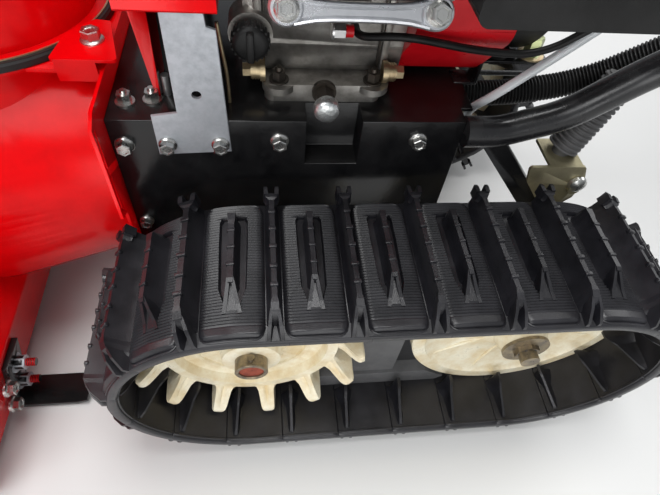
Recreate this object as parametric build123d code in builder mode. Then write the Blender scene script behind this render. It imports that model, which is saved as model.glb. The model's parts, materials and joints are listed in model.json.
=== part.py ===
# Tracked snow blower, full size, in millimetres.
# X points forward to the auger, Y to the machine's left, Z up, and Z = 0 is the ground.
# The origin is on the ground, in the middle of the machine's length and width.
from math import cos, degrees, pi, radians, sin, tan
import os

from build123d import *

os.makedirs("parts", exist_ok=True)

# Rubber track: one closed loop round a sprocket and an idler
TRACK_PITCH = 60.0
SPROCKET_TEETH = 12
WHEEL_SPACING = 270.0
PITCH_RADIUS = SPROCKET_TEETH * TRACK_PITCH / (2 * pi)
BELT_THICKNESS = 9.5
BELT_INNER_RADIUS = PITCH_RADIUS - 4.1
BELT_OUTER_RADIUS = BELT_INNER_RADIUS + BELT_THICKNESS
LUG_HEIGHT = 22.0
AXLE_Z = BELT_OUTER_RADIUS + LUG_HEIGHT
TRACK_WIDTH = 130.0
TRACK_INNER_Y = 143.0
TRACK_Y = TRACK_INNER_Y + TRACK_WIDTH / 2
LUG_COUNT = round((2 * WHEEL_SPACING + SPROCKET_TEETH * TRACK_PITCH) / TRACK_PITCH)
FIRST_LUG = 21.4
LUG_SINK = 3.0
LUG_FOOT = 13.0
LUG_CREST = 4.4
LUG_CREST_LENGTH = 106.0
PRONG_LENGTH = 18.0
PRONG_WIDTH = 8.4
PRONG_NOTCH = 2.6
SHORT_LUG_HEIGHT = 17.0
SHORT_LUG_FOOT = 11.0
SHORT_LUG_START = -44.0
SHORT_LUG_TAIL = 20.0
SHORT_LUG_END = 44.0
FIN_THICKNESS = 6.0
FIN_HEIGHT = 27.0
FIN_EDGE = 8.0
FIN_INNER = 52.0

# Wheels and axles of the undercarriage
DRIVE_X = 155.0
IDLER_X = DRIVE_X - WHEEL_SPACING
AXLE_RADIUS = 13.0
AXLE_BORE = 9.0
AXLE_HALF_LENGTH = 240.0
RUNNING_FIT = 0.05
TOOTH_TIP_RADIUS = 105.5
TOOTH_WIDTH = 15.0
TOOTH_LENGTH = 70.0
TOOTH_PHASE = 8.26
TOOTH_ROUNDING = 6.0
TOOTH_GROOVE = 4.0
SPROCKET_DISC_RADIUS = 82.0
SPROCKET_DISC_WIDTH = 30.0
HUB_RADIUS = 25.0
IDLER_RADIUS = BELT_INNER_RADIUS - 0.3
IDLER_RIM_WIDTH = 14.0
IDLER_RIM_DEPTH = 16.0
IDLER_WEB = 6.0
IDLER_HUB_LENGTH = 46.0
IDLER_PIN_RADIUS = 10.0
FRAME_PLATE = 5.0
FRAME_PLATE_Y = TRACK_Y - 38.0
FRAME_HEIGHT = 62.0
CROSS_TUBE_RADIUS = 16.0
CROSS_TUBE_X = DRIVE_X - 178.0
RAIL_HEIGHT = 26.0
RAIL_WIDTH = 14.0

# Chassis: a folded sheet box between the tracks
SHEET = 3.0
CHASSIS_HALF_WIDTH = 123.0
CHASSIS_TOP = 333.0
CHASSIS_FRONT_X = DRIVE_X + 100.0
CHASSIS_REAR_X = DRIVE_X - 179.0
CHASSIS_BOTTOM = 205.0
EAR_RADIUS = 32.0
SHELF_OVERHANG = 10.0
SHAFT_HOLE = 18.0

# Impeller drum and its rear plate
DRUM_RADIUS = 125.0
DRUM_WALL = 2.5
DRUM_Z = 225.0
PLATE_THICKNESS = 2.5
PLATE_X = CHASSIS_FRONT_X
CHUTE_X = DRIVE_X + 210.0
CHUTE_RADIUS = 88.0
CHUTE_WALL = 2.5
COLLAR_TOP = 352.0
RING_OUTER_RADIUS = 104.0
RING_HEIGHT = 7.5

# Auger housing
HOUSING_HALF_WIDTH = 300.0
HOUSING_REAR_X = DRIVE_X + 238.0
HOUSING_FOOT_X = HOUSING_REAR_X + 25.0
HOUSING_FRONT_X = 745.0
HOUSING_LEAN_BOTTOM = 110.0
HOUSING_LEAN_TOP = (DRIVE_X + 330.0, 350.0)
HOUSING_BOTTOM = 10.0
WING_HOLES = (250.0, 350.0)
AUGER_X = 585.0
AUGER_Z = 180.0
AUGER_RADIUS = 148.0
AUGER_HALF_LENGTH = 306.0
SHAFT_RADIUS = 12.7

# Engine on the chassis shelf
ENGINE_X = DRIVE_X - 64.5
CRANK_Z = CHASSIS_TOP + 106.0
CYLINDER_LEAN = 25.0

# Handlebars
HANDLE_RADIUS = 12.7
HANDLE_REAR_X = -HOUSING_FRONT_X


def write(node, piece):
    """Label one finished piece and write it as its own file."""
    piece.label = node
    export_step(piece, f"parts/{node}.step")


def write_pair(node, piece):
    """Write a left-hand piece and its mirror image on the right."""
    write(f"{node}_left", piece)
    write(f"{node}_right", piece.mirror(Plane.XZ))


def block(low, high, mode=Mode.ADD):
    """Add a square-edged block, given by two opposite corners, to the part being built."""
    centre = tuple((a + b) / 2 for a, b in zip(low, high))
    size = tuple(b - a for a, b in zip(low, high))
    with Locations(centre):
        Box(*size, mode=mode)


def bar(start, end, radius, mode=Mode.ADD):
    """Add a round bar from one point to another to the part being built."""
    run = Vector(*end) - Vector(*start)
    with BuildSketch(Plane(origin=start, z_dir=run)) as section:
        Circle(radius)
    extrude(section.sketch, amount=run.length, mode=mode)


def slab(plane, outline, thickness, rounding=0.0, mode=Mode.ADD):
    """Add a plate with the given outline, its corners rounded, to the part being built."""
    with BuildSketch(plane) as face:
        with BuildLine():
            FilletPolyline(*outline, radius=rounding, close=True)
        make_face()
    extrude(face.sketch, amount=thickness, mode=mode)


def turned(axle_x, section):
    """Add a shape turned about an axle across the machine, from radii and distances out from the track's middle."""
    with BuildSketch(Plane(origin=(axle_x, TRACK_Y, AXLE_Z), x_dir=(1, 0, 0), z_dir=(0, 0, 1))) as half_section:
        with BuildLine():
            Polyline(*section, close=True)
        make_face()
    revolve(half_section.sketch, axis=Axis((axle_x, TRACK_Y, AXLE_Z), (0, 1, 0)), revolution_arc=360)


def side_plane(y):
    """Plane facing the machine's right, at distance y to the left: local x is X, local y is Z."""
    return Plane(origin=(0, y, 0), x_dir=(1, 0, 0), z_dir=(0, -1, 0))


def front_plane(x):
    """Plane facing forward at X = x: local x is Y, local y is Z."""
    return Plane(origin=(x, 0, 0), x_dir=(0, 1, 0), z_dir=(1, 0, 0))


def loop_plane(distance, radius, y):
    """Plane that faces out of the track loop at a distance along its pitch line.

    The distance starts under the drive axle and runs forward, up and round to the rear.
    Local x runs across the machine and local z points out of the loop.
    """
    wrap = pi * PITCH_RADIUS
    if distance < wrap:
        turn = degrees(distance / PITCH_RADIUS)
        centre_x = DRIVE_X
    elif distance < wrap + WHEEL_SPACING:
        turn = 180.0
        centre_x = DRIVE_X - (distance - wrap)
    elif distance < 2 * wrap + WHEEL_SPACING:
        turn = 180.0 + degrees((distance - wrap - WHEEL_SPACING) / PITCH_RADIUS)
        centre_x = IDLER_X
    else:
        turn = 360.0
        centre_x = IDLER_X + (distance - 2 * wrap - WHEEL_SPACING)
    out = Vector(sin(radians(turn)), 0, -cos(radians(turn)))
    origin = Vector(centre_x, y, AXLE_Z) + out * radius
    return Plane(origin=origin, x_dir=(0, 1, 0), z_dir=out)


def lug_place(index):
    """Distance along the pitch line of a lug, counted in half pitches: full and short lugs take turns."""
    return (FIRST_LUG + index * TRACK_PITCH / 2) % (LUG_COUNT * TRACK_PITCH)


def loop_corners(radius):
    """Corners of the loop as X and Z: between its lugs the belt is flat, and each flat touches the radius."""
    corners = []
    wrap = pi * PITCH_RADIUS
    for centre_x, start_turn, start_distance in ((DRIVE_X, 0.0, 0.0), (IDLER_X, 180.0, wrap + WHEEL_SPACING)):
        touches = [start_turn]
        for index in range(2 * LUG_COUNT):
            run = lug_place(index) - start_distance
            if 0 < run < wrap:
                touches.append(start_turn + degrees(run / PITCH_RADIUS))
        touches.append(start_turn + 180.0)
        touches.sort()
        for before, after in zip(touches, touches[1:]):
            middle = radians((before + after) / 2)
            reach = radius / cos(radians(after - before) / 2)
            corners.append((centre_x + reach * sin(middle), AXLE_Z - reach * cos(middle)))
    return corners


def ridge(centre, foot, crest, height):
    """Add a block that narrows from foot to crest, each given as its length across the belt and its width."""
    with BuildSketch() as low_face:
        with Locations((centre, 0)):
            Rectangle(*foot)
    with BuildSketch(Plane.XY.offset(LUG_SINK + height)) as high_face:
        with Locations((centre, 0)):
            Rectangle(*crest)
    loft(sections=[low_face.sketch, high_face.sketch], ruled=True)


# Undercarriage: tracks. A lug's local x runs across the belt towards its outer edge, z out of the loop
with BuildPart() as full_lug:
    prong_centre = (TRACK_WIDTH - 2 - PRONG_LENGTH) / 2
    ridge(0, (TRACK_WIDTH - 2, LUG_FOOT), (LUG_CREST_LENGTH, LUG_CREST), LUG_HEIGHT - 1)
    ridge(-prong_centre, (PRONG_LENGTH, LUG_FOOT), (PRONG_LENGTH - 5, PRONG_WIDTH), LUG_HEIGHT)
    ridge(prong_centre, (PRONG_LENGTH, LUG_FOOT), (PRONG_LENGTH - 9, PRONG_WIDTH), LUG_HEIGHT - 5)
    for end in (-1, 1):
        notch_y = (end * (prong_centre - 2), end * TRACK_WIDTH / 2)
        block(
            (min(notch_y), -PRONG_NOTCH / 2, LUG_SINK + LUG_HEIGHT - 10),
            (max(notch_y), PRONG_NOTCH / 2, LUG_SINK + LUG_HEIGHT + 1),
            Mode.SUBTRACT,
        )

with BuildPart() as short_lug:
    spine = SHORT_LUG_TAIL - SHORT_LUG_START
    ridge(SHORT_LUG_START + spine / 2, (spine, SHORT_LUG_FOOT), (spine - 5, LUG_CREST), SHORT_LUG_HEIGHT)
    with BuildSketch(Plane.YZ.offset(SHORT_LUG_TAIL - 3)) as tail_root:
        with Locations((0, (LUG_SINK + SHORT_LUG_HEIGHT - 1) / 2)):
            Rectangle(LUG_CREST + 2, LUG_SINK + SHORT_LUG_HEIGHT - 1)
    with BuildSketch(Plane.YZ.offset(SHORT_LUG_END)) as tail_end:
        with Locations((0, LUG_SINK)):
            Rectangle(SHORT_LUG_FOOT + 6, 2 * LUG_SINK)
    loft(sections=[tail_root.sketch, tail_end.sketch], ruled=True)
    split = [(SHORT_LUG_TAIL + 2, 0), (SHORT_LUG_END + 1, 3.5), (SHORT_LUG_END + 1, -3.5)]
    slab(Plane.XY.offset(LUG_SINK), split, LUG_HEIGHT, mode=Mode.SUBTRACT)

with BuildPart() as fin_pair:
    half = TRACK_WIDTH / 2
    fin_outline = [
        (FIN_EDGE - half, LUG_SINK),
        (FIN_EDGE + 4 - half, -4),
        (FIN_INNER - 6 - half, -FIN_HEIGHT),
        (FIN_INNER - half, -FIN_HEIGHT),
        (FIN_INNER + 3 - half, LUG_SINK),
    ]
    with BuildSketch(Plane.XZ.offset(-FIN_THICKNESS / 2)):
        with BuildLine():
            Polyline(*fin_outline, close=True)
        make_face()
    extrude(amount=FIN_THICKNESS)
    mirror(about=Plane.YZ)

with BuildPart() as track:
    with BuildSketch(side_plane(TRACK_INNER_Y + TRACK_WIDTH)) as belt_side:
        with BuildLine():
            Polyline(*loop_corners(BELT_OUTER_RADIUS), close=True)
        make_face()
        with BuildLine():
            Polyline(*loop_corners(BELT_INNER_RADIUS), close=True)
        make_face(mode=Mode.SUBTRACT)
    extrude(belt_side.sketch, amount=TRACK_WIDTH)
    for shape, radius, start in (
        (full_lug, BELT_OUTER_RADIUS - LUG_SINK, 0),
        (short_lug, BELT_OUTER_RADIUS - LUG_SINK, 1),
        (fin_pair, BELT_INNER_RADIUS, 0),
    ):
        places = [loop_plane(lug_place(2 * index + start), radius, TRACK_Y) for index in range(LUG_COUNT)]
        with Locations(*places):
            add(shape.part)
write_pair("track", track.part)

# Undercarriage: sprockets on the drive axle. Each finger is grooved on the side that faces the hub
with BuildPart() as finger:
    reach = TOOTH_LENGTH / 2
    finger_root = SPROCKET_DISC_RADIUS - 4
    corner = [
        (TOOTH_WIDTH / 2, reach - TOOTH_ROUNDING),
        (TOOTH_WIDTH / 2 - TOOTH_ROUNDING * 0.3, reach - TOOTH_ROUNDING * 0.3),
        (TOOTH_WIDTH / 2 - TOOTH_ROUNDING, reach),
    ]
    outer_end = corner + [(-x, y) for x, y in reversed(corner)]
    slab(Plane.YZ.offset(finger_root), outer_end + [(-x, -y) for x, y in outer_end], TOOTH_TIP_RADIUS - finger_root)
    for end in (-1, 1):
        groove = [
            (-TOOTH_GROOVE, end * (SPROCKET_DISC_WIDTH / 2 + 0.5)),
            (TOOTH_GROOVE, end * (SPROCKET_DISC_WIDTH / 2 + 0.5)),
            (1, end * (reach - 3)),
            (-1, end * (reach - 3)),
        ]
        slab(Plane.YZ.offset(finger_root), groove, TOOTH_GROOVE, mode=Mode.SUBTRACT)

with BuildPart() as sprocket:
    # Half of the turned disc's section: radius, and distance out from the track's middle
    disc_half = SPROCKET_DISC_WIDTH / 2
    web_half = disc_half - 9
    section = [
        (AXLE_RADIUS + RUNNING_FIT, -32),
        (HUB_RADIUS, -32),
        (HUB_RADIUS + 8, -web_half),
        (SPROCKET_DISC_RADIUS - 14, -web_half),
        (SPROCKET_DISC_RADIUS - 12, -disc_half),
        (SPROCKET_DISC_RADIUS, -disc_half),
        (SPROCKET_DISC_RADIUS, disc_half),
        (SPROCKET_DISC_RADIUS - 12, disc_half),
        (SPROCKET_DISC_RADIUS - 14, web_half),
        (HUB_RADIUS + 8, web_half),
        (HUB_RADIUS, 23),
        (AXLE_RADIUS + RUNNING_FIT, 23),
    ]
    turned(DRIVE_X, section)
    with Locations(Location((DRIVE_X, TRACK_Y, AXLE_Z), (90, 0, 0))):
        with PolarLocations(0, SPROCKET_TEETH, -90 - TOOTH_PHASE):
            add(finger.part)
write_pair("sprocket", sprocket.part)

AXLE_PIN_INSET = 4.5
AXLE_PIN_RADIUS = 3.5
AXLE_BORE_DEPTH = 40.0
with BuildPart() as drive_axle:
    bar((DRIVE_X, -AXLE_HALF_LENGTH, AXLE_Z), (DRIVE_X, AXLE_HALF_LENGTH, AXLE_Z), AXLE_RADIUS)
    for side in (1, -1):
        end_y = side * AXLE_HALF_LENGTH
        pin_y = end_y - side * AXLE_PIN_INSET
        pin_reach = AXLE_RADIUS + 5
        bar((DRIVE_X, end_y - side * AXLE_BORE_DEPTH, AXLE_Z), (DRIVE_X, end_y, AXLE_Z), AXLE_BORE, Mode.SUBTRACT)
        bar((DRIVE_X, pin_y, AXLE_Z - pin_reach), (DRIVE_X, pin_y, AXLE_Z + pin_reach), AXLE_PIN_RADIUS)
write("drive_axle", drive_axle.part)

# Undercarriage: idlers, turned with a dished web inside a square rim
with BuildPart() as idler:
    rim_half = IDLER_RIM_WIDTH / 2
    web_half = IDLER_WEB / 2
    hub_half = IDLER_HUB_LENGTH / 2
    rim_inner = IDLER_RADIUS - IDLER_RIM_DEPTH
    section = [
        (IDLER_PIN_RADIUS + RUNNING_FIT, -hub_half),
        (HUB_RADIUS - 2, -hub_half),
        (HUB_RADIUS + 6, -web_half - 2),
        (rim_inner - 3, -web_half),
        (rim_inner, -rim_half),
        (IDLER_RADIUS, -rim_half),
        (IDLER_RADIUS, rim_half),
        (rim_inner, rim_half),
        (rim_inner - 3, web_half),
        (HUB_RADIUS + 6, web_half + 2),
        (HUB_RADIUS - 2, hub_half),
        (IDLER_PIN_RADIUS + RUNNING_FIT, hub_half),
    ]
    turned(IDLER_X, section)
write_pair("idler", idler.part)

# Undercarriage: the frame inside each loop, and what joins the two
HANGER_FRONT_X = DRIVE_X - 102.0
HANGER_REAR_X = DRIVE_X - 154.0
HANGER_THICKNESS = 6.0
HANGER_TOP_Z = AXLE_Z - 14.0
SPACER_INSET = 12.0
SPACER_DROP = 22.0
SPACER_RADIUS = 7.0
RAIL_GAP = 0.3
RAIL_LIP = 8.0
WASHER_RADIUS = HUB_RADIUS - 4.0
WASHER_THICKNESS = 3.0
IDLER_NUT_RADIUS = 10.0
IDLER_NUT_HEIGHT = 6.0
rail_low = AXLE_Z - BELT_INNER_RADIUS + RAIL_GAP
rail_top = AXLE_Z - BELT_INNER_RADIUS + RAIL_HEIGHT
inner_face_y = FRAME_PLATE_Y - FRAME_PLATE
axle_hole = AXLE_RADIUS + RUNNING_FIT

with BuildPart() as track_frame:
    with BuildSketch(side_plane(FRAME_PLATE_Y)) as plate:
        with Locations(((DRIVE_X + IDLER_X) / 2, AXLE_Z)):
            SlotCenterToCenter(WHEEL_SPACING, FRAME_HEIGHT)
    extrude(plate.sketch, amount=FRAME_PLATE)
    hanger = [
        (HANGER_FRONT_X, HANGER_TOP_Z),
        (HANGER_FRONT_X, rail_top),
        (HANGER_REAR_X, rail_top),
        (HANGER_REAR_X, HANGER_TOP_Z),
    ]
    slab(side_plane(TRACK_Y + HANGER_THICKNESS / 2), hanger, HANGER_THICKNESS)
    spacer_z = AXLE_Z - SPACER_DROP
    for spacer_x in (HANGER_FRONT_X - SPACER_INSET, HANGER_REAR_X + SPACER_INSET):
        bar((spacer_x, inner_face_y, spacer_z), (spacer_x, TRACK_Y, spacer_z), SPACER_RADIUS)
    bar((DRIVE_X, FRAME_PLATE_Y + 1, AXLE_Z), (DRIVE_X, inner_face_y - 4, AXLE_Z), HUB_RADIUS)
    bar((DRIVE_X, FRAME_PLATE_Y + 6, AXLE_Z), (DRIVE_X, inner_face_y - 6, AXLE_Z), axle_hole, Mode.SUBTRACT)
    rail_outline = [
        (DRIVE_X - 71, rail_top),
        (DRIVE_X - 52, rail_low + RAIL_LIP),
        (DRIVE_X - 60, rail_low),
        (IDLER_X + 62, rail_low),
        (IDLER_X + 54, rail_low + RAIL_LIP),
        (IDLER_X + 79, rail_top),
    ]
    slab(side_plane(TRACK_Y + RAIL_WIDTH / 2), rail_outline, RAIL_WIDTH)
    hub_end = TRACK_Y + IDLER_HUB_LENGTH / 2
    bar((IDLER_X, FRAME_PLATE_Y, AXLE_Z), (IDLER_X, hub_end + WASHER_THICKNESS + 1, AXLE_Z), IDLER_PIN_RADIUS)
    bar((IDLER_X, hub_end, AXLE_Z), (IDLER_X, hub_end + WASHER_THICKNESS, AXLE_Z), WASHER_RADIUS)
    with BuildSketch(side_plane(hub_end + WASHER_THICKNESS + IDLER_NUT_HEIGHT)) as head:
        with Locations((IDLER_X, AXLE_Z)):
            RegularPolygon(IDLER_NUT_RADIUS, 6)
    extrude(head.sketch, amount=IDLER_NUT_HEIGHT + 1)
write_pair("track_frame", track_frame.part)

with BuildPart() as frame_cross_tube:
    bar((CROSS_TUBE_X, -inner_face_y, AXLE_Z), (CROSS_TUBE_X, inner_face_y, AXLE_Z), CROSS_TUBE_RADIUS)
write("frame_cross_tube", frame_cross_tube.part)

# Chassis box of folded sheet, with bearing ears round the drive axle
NOSE_BOTTOM = CHASSIS_BOTTOM - 25.0
EAR_SPREAD = 20.0
SHELF_INSET = 18.0
POCKET_FRONT_X = DRIVE_X - 48.0
POCKET_REAR_X = DRIVE_X - 96.0
POCKET_WIDTH = 26.0
POCKET_DEPTH = 46.0
POCKET_WALL = 2.0
EAR_BOSS_LENGTH = 24.0
CASE_HALF_WIDTH = 46.0
CASE_RADIUS = 52.0
CASE_NECK = 84.0
CASE_BOSS_LENGTH = 14.0
with BuildPart() as chassis:
    cheek_line = [
        (CHASSIS_FRONT_X, CHASSIS_TOP),
        (CHASSIS_FRONT_X, NOSE_BOTTOM),
        (DRIVE_X + EAR_RADIUS + EAR_SPREAD, NOSE_BOTTOM),
        (DRIVE_X + EAR_RADIUS, AXLE_Z),
        (DRIVE_X - EAR_RADIUS, AXLE_Z),
        (DRIVE_X - EAR_RADIUS - EAR_SPREAD, CHASSIS_BOTTOM),
        (CHASSIS_REAR_X, CHASSIS_BOTTOM),
        (CHASSIS_REAR_X, CHASSIS_TOP),
    ]
    for side in (1, -1):
        with BuildSketch(side_plane(side * CHASSIS_HALF_WIDTH)) as cheek:
            with BuildLine():
                Polyline(*cheek_line, close=True)
            make_face()
            with Locations((DRIVE_X, AXLE_Z)):
                Circle(EAR_RADIUS)
        extrude(cheek.sketch, amount=side * SHEET)
    # Top, rear shelf, front, rear and floor: each from its low X and Z to its high X and Z, and its half width
    for low_x, low_z, high_x, high_z, half in (
        (CHASSIS_REAR_X, CHASSIS_TOP - SHEET, CHASSIS_FRONT_X, CHASSIS_TOP, CHASSIS_HALF_WIDTH),
        (CHASSIS_REAR_X - SHELF_OVERHANG, CHASSIS_TOP - SHEET, CHASSIS_REAR_X, CHASSIS_TOP, CHASSIS_HALF_WIDTH - SHELF_INSET),
        (CHASSIS_FRONT_X - SHEET, NOSE_BOTTOM, CHASSIS_FRONT_X, CHASSIS_TOP, CHASSIS_HALF_WIDTH),
        (CHASSIS_REAR_X, CHASSIS_BOTTOM, CHASSIS_REAR_X + SHEET, CHASSIS_TOP, CHASSIS_HALF_WIDTH),
        (CHASSIS_REAR_X, CHASSIS_BOTTOM, CHASSIS_FRONT_X, CHASSIS_BOTTOM + SHEET, CHASSIS_HALF_WIDTH),
    ):
        block((low_x, -half, low_z), (high_x, half, high_z))
    # Pocket under the oil drain, in the left top corner
    pocket_low = (POCKET_REAR_X, CHASSIS_HALF_WIDTH - POCKET_WIDTH, CHASSIS_TOP - POCKET_DEPTH)
    pocket_high = (POCKET_FRONT_X, CHASSIS_HALF_WIDTH, CHASSIS_TOP)
    block(pocket_low, pocket_high)
    block(
        tuple(value + POCKET_WALL for value in pocket_low),
        (pocket_high[0] - POCKET_WALL, pocket_high[1] + 1, pocket_high[2] + 1),
        Mode.SUBTRACT,
    )
    bar((CHASSIS_FRONT_X - 5, 0, DRUM_Z), (CHASSIS_FRONT_X + 1, 0, DRUM_Z), SHAFT_HOLE, Mode.SUBTRACT)
    for side in (1, -1):
        y = side * CHASSIS_HALF_WIDTH
        boss_y = y - side * EAR_BOSS_LENGTH
        bar((DRIVE_X, y, AXLE_Z), (DRIVE_X, boss_y, AXLE_Z), HUB_RADIUS)
        bar((DRIVE_X, y + side, AXLE_Z), (DRIVE_X, boss_y - side, AXLE_Z), axle_hole, Mode.SUBTRACT)
    # Drive case below the floor, round the middle of the axle
    with BuildSketch(side_plane(CASE_HALF_WIDTH)) as case_side:
        with Locations((DRIVE_X, AXLE_Z)):
            Circle(CASE_RADIUS)
        with Locations((DRIVE_X - 10, (AXLE_Z + CHASSIS_BOTTOM) / 2)):
            Rectangle(CASE_NECK, CHASSIS_BOTTOM - AXLE_Z)
    extrude(case_side.sketch, amount=2 * CASE_HALF_WIDTH)
    case_end = CASE_HALF_WIDTH + CASE_BOSS_LENGTH
    bar((DRIVE_X, -case_end, AXLE_Z), (DRIVE_X, case_end, AXLE_Z), HUB_RADIUS + 3)
    bar((DRIVE_X, -case_end - 1, AXLE_Z), (DRIVE_X, case_end + 1, AXLE_Z), axle_hole, Mode.SUBTRACT)
write("chassis", chassis.part)

# Zinc-plated plate on the chassis's left side, up into the belt cover: a wide foot and a narrower strip
BRACKET_FRONT_X = DRIVE_X + 65.0
BRACKET_REAR_X = DRIVE_X + 9.0
BRACKET_NECK_X = DRIVE_X + 46.0
BRACKET_TOP = 425.0
BRACKET_HOLE = (DRIVE_X + 30.0, 358.0)
BRACKET_HOLE_RADIUS = 3.5
with BuildPart() as side_bracket:
    bracket_line = [
        (BRACKET_FRONT_X, 302),
        (BRACKET_REAR_X, 305),
        (BRACKET_REAR_X + 3, 407),
        (BRACKET_REAR_X + 9, 409),
        (BRACKET_REAR_X + 10, BRACKET_TOP),
        (BRACKET_NECK_X, BRACKET_TOP),
        (BRACKET_NECK_X, 342),
        (BRACKET_FRONT_X, 339),
    ]
    slab(side_plane(CHASSIS_HALF_WIDTH + SHEET), bracket_line, SHEET)
    hole_x, hole_z = BRACKET_HOLE
    bar(
        (hole_x, CHASSIS_HALF_WIDTH - 1, hole_z),
        (hole_x, CHASSIS_HALF_WIDTH + SHEET + 1, hole_z),
        BRACKET_HOLE_RADIUS,
        Mode.SUBTRACT,
    )
write("side_bracket", side_bracket.part)

# Drum rear plate: it narrows below the track's top so that the machine can tip
PLATE_HALF_WIDTH = 150.0
PLATE_LOW_HALF_WIDTH = 137.0
PLATE_TOP = 352.0
PLATE_SLITS = ((262.0, 298.0), (306.0, 342.0))
SLIT_WIDTH = 2.4
SLIT_INSET = 4.5
with BuildPart() as drum_plate:
    plate_outline = [
        (70, DRUM_Z - DRUM_RADIUS - 4),
        (PLATE_LOW_HALF_WIDTH, 160),
        (PLATE_LOW_HALF_WIDTH, 248),
        (PLATE_HALF_WIDTH, 253),
        (PLATE_HALF_WIDTH, PLATE_TOP - 7),
        (PLATE_LOW_HALF_WIDTH, PLATE_TOP),
        (-PLATE_LOW_HALF_WIDTH, PLATE_TOP),
        (-PLATE_HALF_WIDTH, PLATE_TOP - 7),
        (-PLATE_HALF_WIDTH, 253),
        (-PLATE_LOW_HALF_WIDTH, 248),
        (-PLATE_LOW_HALF_WIDTH, 160),
        (-70, DRUM_Z - DRUM_RADIUS - 4),
    ]
    slab(front_plane(PLATE_X), plate_outline, PLATE_THICKNESS)
    for side in (1, -1):
        for slit_low, slit_high in PLATE_SLITS:
            slit_y = side * (PLATE_HALF_WIDTH - SLIT_INSET)
            block(
                (PLATE_X - 1, slit_y - SLIT_WIDTH / 2, slit_low),
                (PLATE_X + PLATE_THICKNESS + 1, slit_y + SLIT_WIDTH / 2, slit_high),
                Mode.SUBTRACT,
            )
    bar((PLATE_X, 0, DRUM_Z), (PLATE_X + 20, 0, DRUM_Z), 30)
    bar((PLATE_X - 1, 0, DRUM_Z), (PLATE_X + 21, 0, DRUM_Z), SHAFT_RADIUS + RUNNING_FIT, Mode.SUBTRACT)
write("drum_plate", drum_plate.part)

# Impeller drum: a barrel whose underside flares down into the housing, and the chute collar
FLARE_START_X = PLATE_X + 46.0
FLARE_HALF_ANGLE = 9.0
FLARE_TILT = 9.6
FLARE_LENGTH = 205.0
FLARE_SINK = 0.6
lean_rise = HOUSING_LEAN_TOP[1] - HOUSING_LEAN_BOTTOM
lean_run = HOUSING_LEAN_TOP[0] - HOUSING_REAR_X
drum_start = PLATE_X + PLATE_THICKNESS
drum_end = HOUSING_LEAN_TOP[0] + 15


def drum_solid(inset, mode):
    """Add or cut the drum's barrel and flare, inset by the wall's thickness."""
    bar((drum_start - inset, 0, DRUM_Z), (drum_end + inset, 0, DRUM_Z), DRUM_RADIUS - inset, mode)
    small = DRUM_RADIUS - FLARE_SINK - inset
    large = small + FLARE_LENGTH * tan(radians(FLARE_HALF_ANGLE))
    with Locations(Location((FLARE_START_X, 0, DRUM_Z), (0, 90 + FLARE_TILT, 0))):
        Cone(small, large, FLARE_LENGTH, align=(Align.CENTER, Align.CENTER, Align.MIN), mode=mode)


with BuildPart() as drum:
    drum_solid(0.0, Mode.ADD)
    bar((CHUTE_X, 0, DRUM_Z), (CHUTE_X, 0, COLLAR_TOP), CHUTE_RADIUS + CHUTE_WALL)
    bar((CHUTE_X, 0, COLLAR_TOP - 3), (CHUTE_X, 0, COLLAR_TOP), RING_OUTER_RADIUS)
    block((drum_start, -89, COLLAR_TOP - 3), (CHUTE_X - 55, 89, COLLAR_TOP))
    drum_solid(DRUM_WALL, Mode.SUBTRACT)
    bar((CHUTE_X, 0, DRUM_Z), (CHUTE_X, 0, COLLAR_TOP + 1), CHUTE_RADIUS, Mode.SUBTRACT)
    # Everything in front of the housing's leaning rear wall goes
    front_of_wall = [
        (HOUSING_REAR_X, HOUSING_LEAN_BOTTOM),
        (HOUSING_REAR_X + lean_run * 2, HOUSING_LEAN_BOTTOM + lean_rise * 2),
        (HOUSING_FRONT_X, HOUSING_LEAN_BOTTOM + lean_rise * 2),
        (HOUSING_FRONT_X, 0),
        (HOUSING_REAR_X, 0),
    ]
    slab(side_plane(HOUSING_HALF_WIDTH), front_of_wall, 2 * HOUSING_HALF_WIDTH, mode=Mode.SUBTRACT)
write("impeller_drum", drum.part)

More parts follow.
